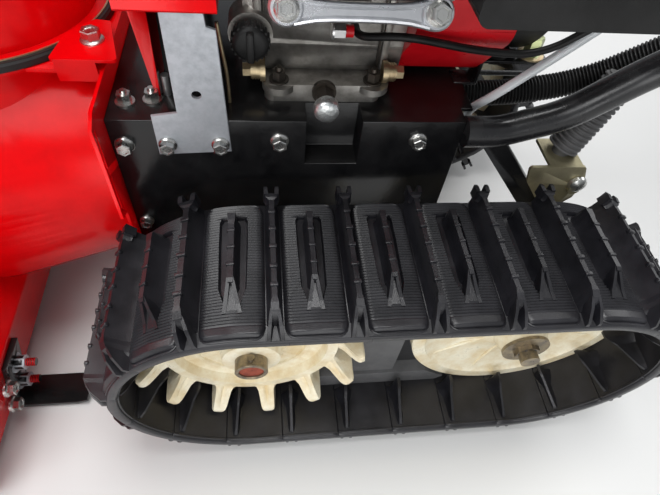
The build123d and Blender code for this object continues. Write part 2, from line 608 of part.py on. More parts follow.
# Auger housing: bent back sheet between two side plates, open at the front
FOLD_WIDTH = 4.0
FOLD_DEPTH = 8.0
BOSS_RADIUS = 34.0
BOSS_DEPTH = 10.0
WING_HOLE_INSET = 45.0
WING_HOLE_RADIUS = 4.5
shaft_hole = SHAFT_RADIUS + RUNNING_FIT
with BuildPart() as housing:
    back_line = [
        (HOUSING_FOOT_X + 40, HOUSING_BOTTOM),
        (HOUSING_FOOT_X, HOUSING_BOTTOM + 4),
        (HOUSING_REAR_X, HOUSING_LEAN_BOTTOM),
        HOUSING_LEAN_TOP,
        (HOUSING_LEAN_TOP[0] + 75, 418),
        (HOUSING_FRONT_X - 45, 430),
    ]
    front_line = [
        (HOUSING_FRONT_X - 12, 330),
        (HOUSING_FRONT_X, 70),
        (HOUSING_FRONT_X - 30, HOUSING_BOTTOM),
    ]
    slab(side_plane(HOUSING_HALF_WIDTH), back_line + front_line, 2 * HOUSING_HALF_WIDTH, 8)
    inner_line = [
        (HOUSING_FOOT_X + 40, HOUSING_BOTTOM - 20),
        (HOUSING_FOOT_X + 40, HOUSING_BOTTOM + SHEET),
        (HOUSING_FOOT_X + SHEET, HOUSING_BOTTOM + SHEET + 3),
        (HOUSING_REAR_X + SHEET, HOUSING_LEAN_BOTTOM - 0.5),
        (HOUSING_LEAN_TOP[0] + 2.5, HOUSING_LEAN_TOP[1] - 2),
        (HOUSING_LEAN_TOP[0] + 76, 418 - SHEET),
        (HOUSING_FRONT_X + 20, 431 - SHEET),
        (HOUSING_FRONT_X + 20, HOUSING_BOTTOM - 20),
    ]
    slab(side_plane(HOUSING_HALF_WIDTH - SHEET), inner_line, 2 * (HOUSING_HALF_WIDTH - SHEET), 6, Mode.SUBTRACT)
    bar((HOUSING_REAR_X - 20, 0, DRUM_Z), (HOUSING_LEAN_TOP[0] + 60, 0, DRUM_Z), DRUM_RADIUS - DRUM_WALL, Mode.SUBTRACT)
    fold = [
        front_line[0],
        front_line[1],
        (front_line[1][0] - FOLD_WIDTH, front_line[1][1]),
        (front_line[0][0] - FOLD_WIDTH, front_line[0][1]),
    ]
    for side in (1, -1):
        y = side * HOUSING_HALF_WIDTH
        slab(side_plane(y), fold, -side * FOLD_DEPTH)
        bar((AUGER_X, y - side * SHEET, AUGER_Z), (AUGER_X, y + side * BOSS_DEPTH, AUGER_Z), BOSS_RADIUS)
        bar((AUGER_X, y - side * 5, AUGER_Z), (AUGER_X, y + side * (BOSS_DEPTH - 2), AUGER_Z), shaft_hole, Mode.SUBTRACT)
        for hole_z in WING_HOLES:
            hole_x = HOUSING_FRONT_X - WING_HOLE_INSET
            bar((hole_x, y - side * 5, hole_z), (hole_x, y + side, hole_z), WING_HOLE_RADIUS, Mode.SUBTRACT)
write("auger_housing", housing.part)

with BuildPart() as scraper_bar:
    block(
        (HOUSING_FOOT_X + 12, -HOUSING_HALF_WIDTH + 6, HOUSING_BOTTOM - 6),
        (HOUSING_FOOT_X + 60, HOUSING_HALF_WIDTH - 6, HOUSING_BOTTOM),
    )
write("scraper_bar", scraper_bar.part)

# Skids: bent brackets on the housing's rear wall, their feet just off the ground behind it
SKID_WIDTH = 35.0
SKID_THICKNESS = 6.0
SKID_CLEARANCE = 2.0
SKID_TOP = 100.0
SKID_REACH = 52.0
SKID_BOLTS = (38.0, 79.0)


def rear_wall_x(z):
    """Place of the housing's rear wall at a height below its lean."""
    share = (HOUSING_LEAN_BOTTOM - z) / (HOUSING_LEAN_BOTTOM - HOUSING_BOTTOM - 4)
    return HOUSING_REAR_X + share * (HOUSING_FOOT_X - HOUSING_REAR_X)


with BuildPart() as skids:
    foot_top = SKID_CLEARANCE + SKID_THICKNESS
    skid_line = [
        (rear_wall_x(SKID_TOP), SKID_TOP),
        (rear_wall_x(SKID_CLEARANCE), SKID_CLEARANCE),
        (HOUSING_REAR_X - SKID_REACH + 12, SKID_CLEARANCE),
        (HOUSING_REAR_X - SKID_REACH, foot_top),
        (HOUSING_REAR_X - SKID_REACH, foot_top + 4),
        (HOUSING_REAR_X - SKID_REACH + 12, foot_top),
        (rear_wall_x(foot_top) - SKID_THICKNESS, foot_top),
        (rear_wall_x(SKID_TOP) - SKID_THICKNESS, SKID_TOP),
    ]
    slab(side_plane(TRACK_Y), skid_line, SKID_WIDTH)
    for bolt_z in SKID_BOLTS:
        bolt_y = TRACK_Y - SKID_WIDTH / 2
        seat_x = rear_wall_x(bolt_z) - SKID_THICKNESS + 1
        bar((seat_x - 21, bolt_y, bolt_z), (seat_x, bolt_y, bolt_z), 4)
        bar((seat_x - 10, bolt_y, bolt_z), (seat_x, bolt_y, bolt_z), 7)
    mirror(about=Plane.XZ)
write("skids", skids.part)

# Gearbox on the auger shaft: a round worm-wheel case under the worm's box, and a nose for its shaft
GEAR_CASE_RADIUS = 46.0
GEAR_CASE_WIDTH = 56.0
GEAR_BOX_LENGTH = 84.0
GEAR_BOX_HEIGHT = 50.0
GEAR_NOSE_RADIUS = 24.0
GEAR_NOSE_REACH = 80.0
GEAR_BOSS_RADIUS = 27.0
GEAR_BOSS_REACH = 40.0
with BuildPart() as gearbox:
    with BuildSketch(side_plane(GEAR_CASE_WIDTH / 2)) as gear_side:
        with Locations((AUGER_X, AUGER_Z)):
            Circle(GEAR_CASE_RADIUS)
        with Locations((AUGER_X, (AUGER_Z + DRUM_Z) / 2)):
            Rectangle(GEAR_BOX_LENGTH - 20, DRUM_Z - AUGER_Z)
        with Locations((AUGER_X, DRUM_Z)):
            Rectangle(GEAR_BOX_LENGTH, GEAR_BOX_HEIGHT)
    extrude(gear_side.sketch, amount=GEAR_CASE_WIDTH)
    nose_x = AUGER_X - GEAR_NOSE_REACH
    bar((AUGER_X - GEAR_BOX_LENGTH / 2 + 2, 0, DRUM_Z), (nose_x, 0, DRUM_Z), GEAR_NOSE_RADIUS)
    bar((AUGER_X, -GEAR_BOSS_REACH, AUGER_Z), (AUGER_X, GEAR_BOSS_REACH, AUGER_Z), GEAR_BOSS_RADIUS)
    bar((AUGER_X, -GEAR_BOSS_REACH - 1, AUGER_Z), (AUGER_X, GEAR_BOSS_REACH + 1, AUGER_Z), shaft_hole, Mode.SUBTRACT)
    bar((nose_x - 1, 0, DRUM_Z), (AUGER_X - 30, 0, DRUM_Z), shaft_hole, Mode.SUBTRACT)
write("auger_gearbox", gearbox.part)

# Auger: a shaft with a sleeve on each side, and two ribbons of opposite hand a side on spokes
RIBBON_DEPTH = 34.0
RIBBON_THICKNESS = 5.0
RIBBON_STEPS = 7
RIBBON_TURN = 270.0
RIBBON_START_Y = 60.0
RIBBON_LENGTH = 215.0
SPOKE_STEPS = (1, 3, 6)
SPOKE_RADIUS = 6.0
SLEEVE_RADIUS = 18.0
SLEEVE_ENDS = (52.0, 286.0)


def on_ribbon(start, side, step):
    """Angle in radians and Y of a place on a ribbon, counted in steps from its inner end."""
    share = step / RIBBON_STEPS
    return radians(start + side * RIBBON_TURN * share), side * (RIBBON_START_Y + RIBBON_LENGTH * share)


with BuildPart() as auger:
    bar((AUGER_X, -AUGER_HALF_LENGTH, AUGER_Z), (AUGER_X, AUGER_HALF_LENGTH, AUGER_Z), SHAFT_RADIUS)
    ribbon_middle = AUGER_RADIUS - RIBBON_DEPTH / 2
    for side in (1, -1):
        bar((AUGER_X, side * SLEEVE_ENDS[0], AUGER_Z), (AUGER_X, side * SLEEVE_ENDS[1], AUGER_Z), SLEEVE_RADIUS)
        for start in (0, 180):
            sections = []
            for step in range(RIBBON_STEPS + 1):
                angle, y = on_ribbon(start, side, step)
                out = Vector(cos(angle), 0, sin(angle))
                along = Vector(-sin(angle), 0, cos(angle))
                origin = Vector(AUGER_X, y, AUGER_Z) + out * ribbon_middle
                with BuildSketch(Plane(origin=origin, x_dir=out, z_dir=along)) as section:
                    Rectangle(RIBBON_DEPTH, RIBBON_THICKNESS)
                sections.append(section.sketch)
            loft(sections=sections, ruled=True)
            for step in SPOKE_STEPS:
                angle, y = on_ribbon(start, side, step)
                tip = (AUGER_X + ribbon_middle * cos(angle), y, AUGER_Z + ribbon_middle * sin(angle))
                bar((AUGER_X, y, AUGER_Z), tip, SPOKE_RADIUS)
write("auger", auger.part)

# Impeller: four blades with bent tips on a disc and hub
IMPELLER_DISC_X = PLATE_X + 25.0
IMPELLER_DISC_RADIUS = 60.0
IMPELLER_HUB_RADIUS = 24.0
BLADE_COUNT = 4
BLADE_LENGTH = 84.0
BLADE_THICKNESS = 5.0
with BuildPart() as impeller:
    blade_x = IMPELLER_DISC_X + 5
    bar((PLATE_X - 40, 0, DRUM_Z), (AUGER_X - GEAR_BOX_LENGTH / 2, 0, DRUM_Z), SHAFT_RADIUS)
    bar((blade_x, 0, DRUM_Z), (blade_x + 80, 0, DRUM_Z), IMPELLER_HUB_RADIUS)
    with BuildSketch(front_plane(IMPELLER_DISC_X)) as disc:
        with Locations((0, DRUM_Z)):
            Circle(IMPELLER_DISC_RADIUS)
    extrude(disc.sketch, amount=6)
    for blade in range(BLADE_COUNT):
        angle = radians(45 + 360 / BLADE_COUNT * blade)
        direction = Vector(0, cos(angle), sin(angle))
        root = Vector(blade_x, 0, DRUM_Z) + direction * 15
        with BuildSketch(Plane(origin=root, x_dir=direction, z_dir=(1, 0, 0))) as blade_profile:
            with BuildLine():
                line = FilletPolyline((0, 0), (82, 0), (103, 14), radius=12)
                offset(line, amount=BLADE_THICKNESS / 2, side=Side.BOTH)
            make_face()
        extrude(blade_profile.sketch, amount=BLADE_LENGTH)
write("impeller", impeller.part)

# Chute: rotating ring, elbow and deflector
with BuildPart() as chute_ring:
    bar((CHUTE_X, 0, COLLAR_TOP), (CHUTE_X, 0, COLLAR_TOP + RING_HEIGHT), RING_OUTER_RADIUS)
    bar((CHUTE_X, 0, COLLAR_TOP - 1), (CHUTE_X, 0, COLLAR_TOP + RING_HEIGHT + 1), CHUTE_RADIUS, Mode.SUBTRACT)
    bar((CHUTE_X, 0, COLLAR_TOP + 2), (CHUTE_X, 0, COLLAR_TOP + RING_HEIGHT + 1), CHUTE_RADIUS + 11.5, Mode.SUBTRACT)
write("chute_ring", chute_ring.part)


# Folded clips that hold the ring down, bolted to the drum's corners
CLIP_SHEET = 2.5
CLIP_FOLD_Y = 92.0
CLIP_BOLT = (CHUTE_X - 98.0, 62.0)
CLIP_SPACER_RADIUS = 9.0
with BuildPart() as ring_clips:
    clip_top = COLLAR_TOP + RING_HEIGHT + 0.3
    clip_line = [
        (CHUTE_X - 74, CLIP_FOLD_Y),
        (CHUTE_X - 122, CLIP_FOLD_Y),
        (CHUTE_X - 109, 38),
        (CHUTE_X - 97, 36),
        (CHUTE_X - 79, 57),
    ]
    slab(Plane.XY.offset(clip_top), clip_line, CLIP_SHEET, 3)
    block((CHUTE_X - 106, CLIP_FOLD_Y - 3, COLLAR_TOP - 8), (CHUTE_X - 77, CLIP_FOLD_Y, clip_top + 1))
    bolt_x, bolt_y = CLIP_BOLT
    bar((bolt_x, bolt_y, COLLAR_TOP), (bolt_x, bolt_y, clip_top + 1), CLIP_SPACER_RADIUS)
    mirror(about=Plane.XZ)
write("ring_clips", ring_clips.part)

# Chute: a pipe that opens into a trough, bent forward about a far axis
BEND_X = CHUTE_X + 300.0
BEND_Z = 470.0
TROUGH_TOP = 24.0
DEFLECTOR_GAP = 6.0
PIN_TURN = 21.0
bend_axis = Axis((BEND_X, 0, BEND_Z), (0, 1, 0))


def trough_section(inner, arms):
    """Flat U at the bend's start, open to the front, one sheet thick."""
    with BuildSketch(Plane.XY.offset(BEND_Z)) as section:
        with BuildLine():
            front_x = CHUTE_X + arms
            outer = inner + CHUTE_WALL
            Line((front_x, inner), (CHUTE_X, inner))
            CenterArc((CHUTE_X, 0), inner, 90, 180)
            Line((CHUTE_X, -inner), (front_x, -inner))
            Line((front_x, -inner), (front_x, -outer))
            Line((front_x, -outer), (CHUTE_X, -outer))
            CenterArc((CHUTE_X, 0), outer, 90, 180)
            Line((CHUTE_X, outer), (front_x, outer))
            Line((front_x, outer), (front_x, inner))
        make_face()
    return section.sketch


def on_bend(turn, radius=BEND_X - CHUTE_X):
    """Point of the trough's middle line after a turn in degrees: X and Z."""
    return BEND_X - radius * cos(radians(turn)), BEND_Z + radius * sin(radians(turn))


PIN_X, PIN_Z = on_bend(PIN_TURN, BEND_X - CHUTE_X - 10)
with BuildPart() as chute:
    bar((CHUTE_X, 0, COLLAR_TOP + 2.3), (CHUTE_X, 0, BEND_Z), CHUTE_RADIUS + CHUTE_WALL)
    bar((CHUTE_X, 0, COLLAR_TOP + 2.3), (CHUTE_X, 0, COLLAR_TOP + 6), CHUTE_RADIUS + 11)
    bar((CHUTE_X, 0, COLLAR_TOP), (CHUTE_X, 0, BEND_Z + 1), CHUTE_RADIUS, Mode.SUBTRACT)
    mouth = [
        (CHUTE_X + 44, BEND_Z + 2),
        (CHUTE_X + 44, BEND_Z - 30),
        (CHUTE_X + 70, BEND_Z - 62),
        (CHUTE_X + 100, BEND_Z - 62),
        (CHUTE_X + 100, BEND_Z + 2),
    ]
    slab(side_plane(100), mouth, 200, mode=Mode.SUBTRACT)
    revolve(trough_section(CHUTE_RADIUS, 44), axis=bend_axis, revolution_arc=TROUGH_TOP)
    for side in (1, -1):
        arm_y = side * (CHUTE_RADIUS + CHUTE_WALL)
        bar((PIN_X, arm_y - side, PIN_Z), (PIN_X, arm_y + side * 14, PIN_Z), 6)
write("chute", chute.part)

with BuildPart() as deflector:
    deflector_inner = CHUTE_RADIUS + CHUTE_WALL + DEFLECTOR_GAP
    revolve(trough_section(deflector_inner, 52), axis=bend_axis, revolution_arc=58)
    # The trough's first stretch goes: the deflector starts below its pins
    low_x, low_z = on_bend(PIN_TURN - 12, 120)
    far_x, far_z = on_bend(PIN_TURN - 12, 460)
    cut = [(far_x, far_z), (low_x, low_z), (low_x, BEND_Z - 40), (far_x, BEND_Z - 40)]
    slab(side_plane(150), cut, 300, mode=Mode.SUBTRACT)
    bar((PIN_X, -150, PIN_Z), (PIN_X, 150, PIN_Z), 6 + RUNNING_FIT, Mode.SUBTRACT)
write("deflector", deflector.part)

# Belt cover in front of the engine: hood, tapered side flanges and a leaning lower panel
with BuildPart() as belt_cover:
    hood_rear, hood_front = DRIVE_X + 10, DRIVE_X + 72
    hood_line = [(-128, 418), (-128, 560), (-70, 592), (70, 592), (128, 560), (128, 418)]
    slab(front_plane(hood_rear), hood_line, hood_front - hood_rear, 2)
    inner_hood = [(-126, 410), (-126, 558.5), (-69.5, 590), (69.5, 590), (126, 558.5), (126, 410)]
    slab(front_plane(hood_rear + 2), inner_hood, hood_front - hood_rear - 4, 1, Mode.SUBTRACT)
    panel = [
        (DRIVE_X + 65, CHASSIS_TOP),
        (hood_front, 400),
        (hood_front, 420),
        (hood_front - 2, 420),
        (hood_front - 2, 400),
        (DRIVE_X + 63, CHASSIS_TOP),
    ]
    slab(side_plane(95), panel, 190)
    flange = [
        (DRIVE_X + 65, CHASSIS_TOP),
        (hood_front, 400),
        (hood_front, 420),
        (DRIVE_X + 60, 420),
        (DRIVE_X + 60, 400),
        (DRIVE_X + 62, CHASSIS_TOP),
    ]
    slab(side_plane(95), flange, 2)
    slab(side_plane(-93), flange, 2)
write("belt_cover", belt_cover.part)

# Engine: crankcase, finned cylinder leaning to the left, and what bolts to them
with BuildPart() as crankcase:
    foot = [(DRIVE_X - 18, -98), (DRIVE_X - 18, 98), (DRIVE_X - 111, 98), (DRIVE_X - 111, -98)]
    slab(Plane.XY.offset(CHASSIS_TOP), foot, 15, 8)
    body = [
        (-84, CHASSIS_TOP + 12),
        (78, CHASSIS_TOP + 12),
        (83, 372),
        (83, 440),
        (58, 512),
        (-50, 512),
        (-84, 470),
    ]
    slab(front_plane(DRIVE_X - 125.5), body, 121.5, 12)
    bar((DRIVE_X - 6, 0, CRANK_Z), (DRIVE_X + 8, 0, CRANK_Z), 48)
    bar((DRIVE_X - 9, 70, 386), (DRIVE_X - 9, 93, 386), 16)
write("crankcase", crankcase.part)

cylinder_out = Vector(0, cos(radians(CYLINDER_LEAN)), sin(radians(CYLINDER_LEAN)))
cylinder_base = Vector(ENGINE_X - 5, 0, CRANK_Z)


def cylinder_plane(offset):
    """Plane across the cylinder, offset along it from the crank: local x is X, local y points down."""
    return Plane(origin=cylinder_base + cylinder_out * offset, x_dir=(1, 0, 0), z_dir=cylinder_out)


HEAD_OUT = 163.0
with BuildPart() as cylinder:
    with BuildSketch(cylinder_plane(88)) as core:
        with Locations((0, 8)):
            Rectangle(84, 78)
    extrude(core.sketch, amount=HEAD_OUT - 88)
    for fin_index in range(6):
        with BuildSketch(cylinder_plane(96 + 11 * fin_index)) as fin:
            with Locations((0, 8)):
                RectangleRounded(112, 104, 6)
        extrude(fin.sketch, amount=3.5)
write("cylinder", cylinder.part)

with BuildPart() as valve_cover:
    with BuildSketch(cylinder_plane(HEAD_OUT)) as flange_face:
        with Locations((0, 13)):
            RectangleRounded(86, 92, 10)
            with GridLocations(80, 104, 2, 2):
                Circle(13)
            with Locations((0, 46)):
                Rectangle(80, 16)
            with Locations((0, -46)):
                Rectangle(80, 16)
    extrude(flange_face.sketch, amount=9)
    with BuildSketch(cylinder_plane(HEAD_OUT + 8)) as dome:
        with Locations((0, 13)):
            RectangleRounded(82, 86, 12)
    extrude(dome.sketch, amount=24, taper=8)
write("valve_cover", valve_cover.part)

with BuildPart() as fan_cover:
    fan_line = [
        (-58, 338),
        (58, 338),
        (104, 392),
        (108, 470),
        (62, 548),
        (-62, 548),
        (-108, 470),
        (-104, 392),
    ]
    slab(front_plane(DRIVE_X - 200), fan_line, 74.2, 26)
write("fan_cover", fan_cover.part)

with BuildPart() as recoil:
    with BuildSketch(front_plane(DRIVE_X - 200.3)) as can:
        with Locations((0, CRANK_Z)):
            Circle(97)
    extrude(can.sketch, amount=-38)
    with BuildSketch(front_plane(DRIVE_X - 238.3)) as nose:
        with Locations((0, CRANK_Z)):
            Circle(80)
    extrude(nose.sketch, amount=-16, taper=30)
    bar((DRIVE_X - 225, -82, CRANK_Z + 36), (DRIVE_X - 225, -118, CRANK_Z + 50), 9)
write("recoil_starter", recoil.part)

with BuildPart() as fuel_tank:
    tank_line = [(-118, 572), (70, 572), (84, 600), (78, 652), (-126, 652), (-130, 600)]
    slab(front_plane(DRIVE_X - 190), tank_line, 170, 22)
    bar((DRIVE_X - 110, -40, 650), (DRIVE_X - 110, -40, 672), 30)
    block((DRIVE_X - 57, -45, 512), (DRIVE_X - 33, -20, 573))
    block((DRIVE_X - 182, -60, 548), (DRIVE_X - 158, -20, 573))
write("fuel_tank", fuel_tank.part)

with BuildPart() as muffler:
    can_line = [(94, 585), (190, 585), (196, 640), (94, 640)]
    slab(front_plane(DRIVE_X - 118), can_line, 110, 12)
    with BuildSketch(cylinder_plane(115)) as exhaust_flange:
        with Locations((0, -48)):
            Rectangle(44, 8)
    extrude(exhaust_flange.sketch, amount=40)
    bar((ENGINE_X - 5, 120, 590), (ENGINE_X - 5, 105, 543), 12)
write("muffler", muffler.part)

with BuildPart() as air_box:
    box_line = [
        (DRIVE_X - 126, 452),
        (DRIVE_X - 126, 560),
        (DRIVE_X - 250, 560),
        (DRIVE_X - 262, 540),
        (DRIVE_X - 262, 452),
    ]
    slab(side_plane(196), box_line, 82, 8)
write("air_box", air_box.part)

with BuildPart() as oil_fittings:
    bar((DRIVE_X - 9, 93, 386), (DRIVE_X - 9, 108, 386), 13)
    bar((ENGINE_X, 98, 343), (ENGINE_X, 118, 343), 7.5)
    with BuildSketch(side_plane(127)) as cap:
        with Locations((ENGINE_X, 343)):
            RegularPolygon(10, 6)
    extrude(cap.sketch, amount=10)
write("oil_fittings", oil_fittings.part)


def route(points):
    """Radii of a cord's or tube's bends: 0.45 of the shorter run, over the tangent of half the turn."""
    radii = []
    for before, here, after in zip(points, points[1:], points[2:]):
        first = Vector(*here) - Vector(*before)
        second = Vector(*after) - Vector(*here)
        half_turn = radians(first.get_angle(second)) / 2
        radii.append(0.45 * min(first.length, second.length) / tan(half_turn))
    return radii


def tube(points, radius, radii):
    """Sweep a round section along straight runs joined by tangent arcs."""
    with BuildLine() as path:
        FilletPolyline(*points, radius=radii)
    run = Vector(*points[1]) - Vector(*points[0])
    with BuildSketch(Plane(origin=points[0], z_dir=run)) as section:
        Circle(radius)
    sweep(section.sketch, path=path.wires()[0])


# Handlebars and what they carry
GRIP_Y = 205.0
GRIP_Z = 900.0
GRIP_START_X = -545.0
handle_points = [
    (CHASSIS_REAR_X, CHASSIS_HALF_WIDTH, 324),
    (CHASSIS_REAR_X - 30, CHASSIS_HALF_WIDTH, 324),
    (CHASSIS_REAR_X - 80, CHASSIS_HALF_WIDTH, 341),
    (CHASSIS_REAR_X - 130, CHASSIS_HALF_WIDTH, 382),
    (CHASSIS_REAR_X - 276, GRIP_Y, 573),
    (GRIP_START_X, GRIP_Y, GRIP_Z),
    (HANDLE_REAR_X, GRIP_Y, GRIP_Z),
]
with BuildPart() as handle:
    tube(handle_points, HANDLE_RADIUS, [60, 90, 90, 90, 90])
write_pair("handle", handle.part)

BRACE_SHARE = 0.4
low_point, high_point = handle_points[4], handle_points[5]
cross_x, cross_y, cross_z = (a + (b - a) * BRACE_SHARE for a, b in zip(low_point, high_point))
with BuildPart() as handle_brace:
    reach = cross_y - HANDLE_RADIUS - 0.3
    bar((cross_x, -reach, cross_z), (cross_x, reach, cross_z), 11)
write("handle_brace", handle_brace.part)

with BuildPart() as console:
    console_half = GRIP_Y - HANDLE_RADIUS - 0.3
    console_line = [
        (GRIP_START_X + 110, 812),
        (GRIP_START_X + 118, 842),
        (GRIP_START_X - 20, 925),
        (GRIP_START_X - 62, 925),
        (GRIP_START_X - 65, 880),
        (GRIP_START_X, 845),
    ]
    slab(side_plane(console_half), console_line, 2 * console_half, 8)
    for lever_y in (-60, 60):
        bar((GRIP_START_X - 40, lever_y, 920), (GRIP_START_X - 40, lever_y, 985), 5)
        bar((GRIP_START_X - 40, lever_y, 984), (GRIP_START_X - 48, lever_y, 1012), 13)
write("control_panel", console.part)

with BuildPart() as headlight:
    lamp_x = GRIP_START_X + 112
    bar((lamp_x + 16, 0, 806), (lamp_x + 64, 0, 794), 42)
    bar((lamp_x + 4.1, 0, 826), (lamp_x + 30, 0, 826), 8)
write("headlight", headlight.part)

with BuildPart() as grips:
    for side in (1, -1):
        y = side * GRIP_Y
        bar((HANDLE_REAR_X + 0.5, y, GRIP_Z), (HANDLE_REAR_X + 125, y, GRIP_Z), 16.5)
        bar((HANDLE_REAR_X, y, GRIP_Z), (HANDLE_REAR_X + 126, y, GRIP_Z), HANDLE_RADIUS, Mode.SUBTRACT)
write("hand_grips", grips.part)

with BuildPart() as clutch_levers:
    lever_line = [
        (HANDLE_REAR_X + 172, GRIP_Z + 13.2),
        (HANDLE_REAR_X + 150, GRIP_Z + 13.2),
        (HANDLE_REAR_X + 138, GRIP_Z + 48),
        (HANDLE_REAR_X + 6, GRIP_Z + 66),
        (HANDLE_REAR_X + 8, GRIP_Z + 74),
        (HANDLE_REAR_X + 142, GRIP_Z + 58),
        (HANDLE_REAR_X + 172, GRIP_Z + 30),
    ]
    slab(side_plane(GRIP_Y + 9), lever_line, 18, 3)
    mirror(about=Plane.XZ)
write("clutch_levers", clutch_levers.part)

# Rear legs under the handle tubes, and the height lock on the left one
with BuildPart() as rear_legs:
    leg_line = [
        (DRIVE_X - 196, 313),
        (DRIVE_X - 215, 317.2),
        (DRIVE_X - 312, 203),
        (DRIVE_X - 293, 196),
    ]
    slab(side_plane(CHASSIS_HALF_WIDTH), leg_line, 28)
    add(handle.part, mode=Mode.SUBTRACT)
    mirror(about=Plane.XZ)
write("rear_legs", rear_legs.part)

with BuildPart() as lock_bracket:
    lock_line = [
        (DRIVE_X - 252, 286),
        (DRIVE_X - 306, 286),
        (DRIVE_X - 314, 266),
        (DRIVE_X - 311, 246),
        (DRIVE_X - 300, 234),
        (DRIVE_X - 278, 240),
        (DRIVE_X - 256, 268),
    ]
    slab(side_plane(CHASSIS_HALF_WIDTH + 3), lock_line, 3, 3)
    block((DRIVE_X - 304, CHASSIS_HALF_WIDTH - 36, 283), (DRIVE_X - 272, CHASSIS_HALF_WIDTH + 3, 286))
    bar((DRIVE_X - 304, CHASSIS_HALF_WIDTH - 4, 262), (DRIVE_X - 304, CHASSIS_HALF_WIDTH + 8, 262), 6)
write("lock_bracket", lock_bracket.part)

with BuildPart() as lock_boot:
    bar((DRIVE_X - 289, 104, 286), (DRIVE_X - 289, 104, 293), 8)
    bar((DRIVE_X - 289, 104, 292), (DRIVE_X - 312, 98, 360), 14)
write("lock_boot", lock_boot.part)

# Cables and hoses that the machine holds all the way
CONDUIT_RADIUS = 11.0
HOSE_RADIUS = 3.5
CABLE_RADIUS = 3.0
conduit_points = [
    (CHASSIS_REAR_X, 58, 315),
    (CHASSIS_REAR_X - 60, 58, 315),
    (CHASSIS_REAR_X - 125, 62, 331),
    (CHASSIS_REAR_X - 172, 78, 376),
    (CHASSIS_REAR_X - 210, 112, 440),
    (CHASSIS_REAR_X - 258, 160, 528),
    (CHASSIS_REAR_X - 330, 179, 612),
    (CHASSIS_REAR_X - 446, 179, 739),
    (CHASSIS_REAR_X - 446, 179, 819),
]

# Thin cable from the crankcase's left side, under the air box, into the air box's rear
cable_points = [
    (DRIVE_X - 85, 83, 391),
    (DRIVE_X - 85, 101, 391),
    (DRIVE_X - 118, 111, 398),
    (DRIVE_X - 176, 111, 388),
    (DRIVE_X - 222, 111, 386),
    (DRIVE_X - 262, 113, 418),
    (DRIVE_X - 284, 124, 448),
    (DRIVE_X - 284, 140, 484),
    (DRIVE_X - 262, 140, 484),
]
with BuildPart() as cables:
    tube(conduit_points, CONDUIT_RADIUS, route(conduit_points))
    tube(cable_points, CABLE_RADIUS, route(cable_points))
write("cable_conduit", cables.part)

# Clear hose from the tank's rear, down beside the recoil starter, to the chassis's rear sheet
hose_points = [
    (CHASSIS_REAR_X, 84, 300),
    (CHASSIS_REAR_X - 15, 84, 300),
    (CHASSIS_REAR_X - 15.5, 90, 323),
    (CHASSIS_REAR_X - 19, 109, 347),
    (CHASSIS_REAR_X - 51, 110, 379),
    (CHASSIS_REAR_X - 93, 110, 421),
    (CHASSIS_REAR_X - 112, 108, 462),
    (CHASSIS_REAR_X - 114, 96, 530),
    (CHASSIS_REAR_X - 70, 50, 600),
    (DRIVE_X - 190, 50, 600),
]
with BuildPart() as fuel_hose:
    tube(hose_points, HOSE_RADIUS, route(hose_points))
write("fuel_hose", fuel_hose.part)
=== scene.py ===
"""Dressed model of a walk-behind snow blower on two rubber tracks.

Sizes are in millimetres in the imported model's frame: X runs forward to the auger, Y to the
machine's left and Z up from the ground. Each finished mesh is brought to metres.
"""

from __future__ import annotations

import json
import logging
import math
from dataclasses import dataclass
from enum import Enum
from typing import Any, Iterable, Sequence

import bmesh
import bpy
from mathutils import Matrix, Vector

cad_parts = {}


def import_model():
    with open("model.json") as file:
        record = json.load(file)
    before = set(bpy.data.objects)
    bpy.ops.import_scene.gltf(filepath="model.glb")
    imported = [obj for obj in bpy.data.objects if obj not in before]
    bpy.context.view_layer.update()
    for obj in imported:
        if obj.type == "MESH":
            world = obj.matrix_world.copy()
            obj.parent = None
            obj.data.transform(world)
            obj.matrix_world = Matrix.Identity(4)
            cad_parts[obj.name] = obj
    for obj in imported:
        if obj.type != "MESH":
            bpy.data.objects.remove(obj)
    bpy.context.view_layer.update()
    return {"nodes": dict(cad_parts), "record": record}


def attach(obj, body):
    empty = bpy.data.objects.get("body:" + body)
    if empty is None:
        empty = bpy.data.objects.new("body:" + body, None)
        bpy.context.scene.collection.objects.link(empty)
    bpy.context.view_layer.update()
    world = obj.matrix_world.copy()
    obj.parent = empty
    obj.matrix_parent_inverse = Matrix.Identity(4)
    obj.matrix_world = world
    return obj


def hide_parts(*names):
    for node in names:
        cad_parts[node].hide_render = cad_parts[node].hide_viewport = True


LOG = logging.getLogger("snow_blower")
MM = 0.001
FORWARD = Vector((1, 0, 0))
LEFT = Vector((0, 1, 0))
UP = Vector((0, 0, 1))
Colour = tuple[float, float, float]
Place = Sequence[float]
Mesh = bmesh.types.BMesh
Socket = bpy.types.NodeSocket
DUST_COLOUR = (0.30, 0.28, 0.25, 1.0)


class Body(Enum):
    """The bodies that a piece can ride on."""

    UNDERCARRIAGE = "undercarriage"
    MACHINE = "machine"
    AUGER = "auger"
    IMPELLER = "impeller"
    CHUTE = "chute"
    DEFLECTOR = "deflector"


class Grain(Enum):
    """Fine surface relief: grains per metre, depth in metres, and stretch along X, Y and Z."""

    PEEL = (260.0, 0.00010, (1.0, 1.0, 1.0))
    CAST = (1500.0, 0.00022, (1.0, 1.0, 1.0))
    MOULDED = (2400.0, 0.00007, (1.0, 1.0, 1.0))
    BRUSHED = (1900.0, 0.00005, (0.08, 1.0, 1.0))
    RUBBER = (900.0, 0.00016, (1.0, 1.0, 1.0))
    ROUGH = (420.0, 0.00050, (1.0, 1.0, 1.0))


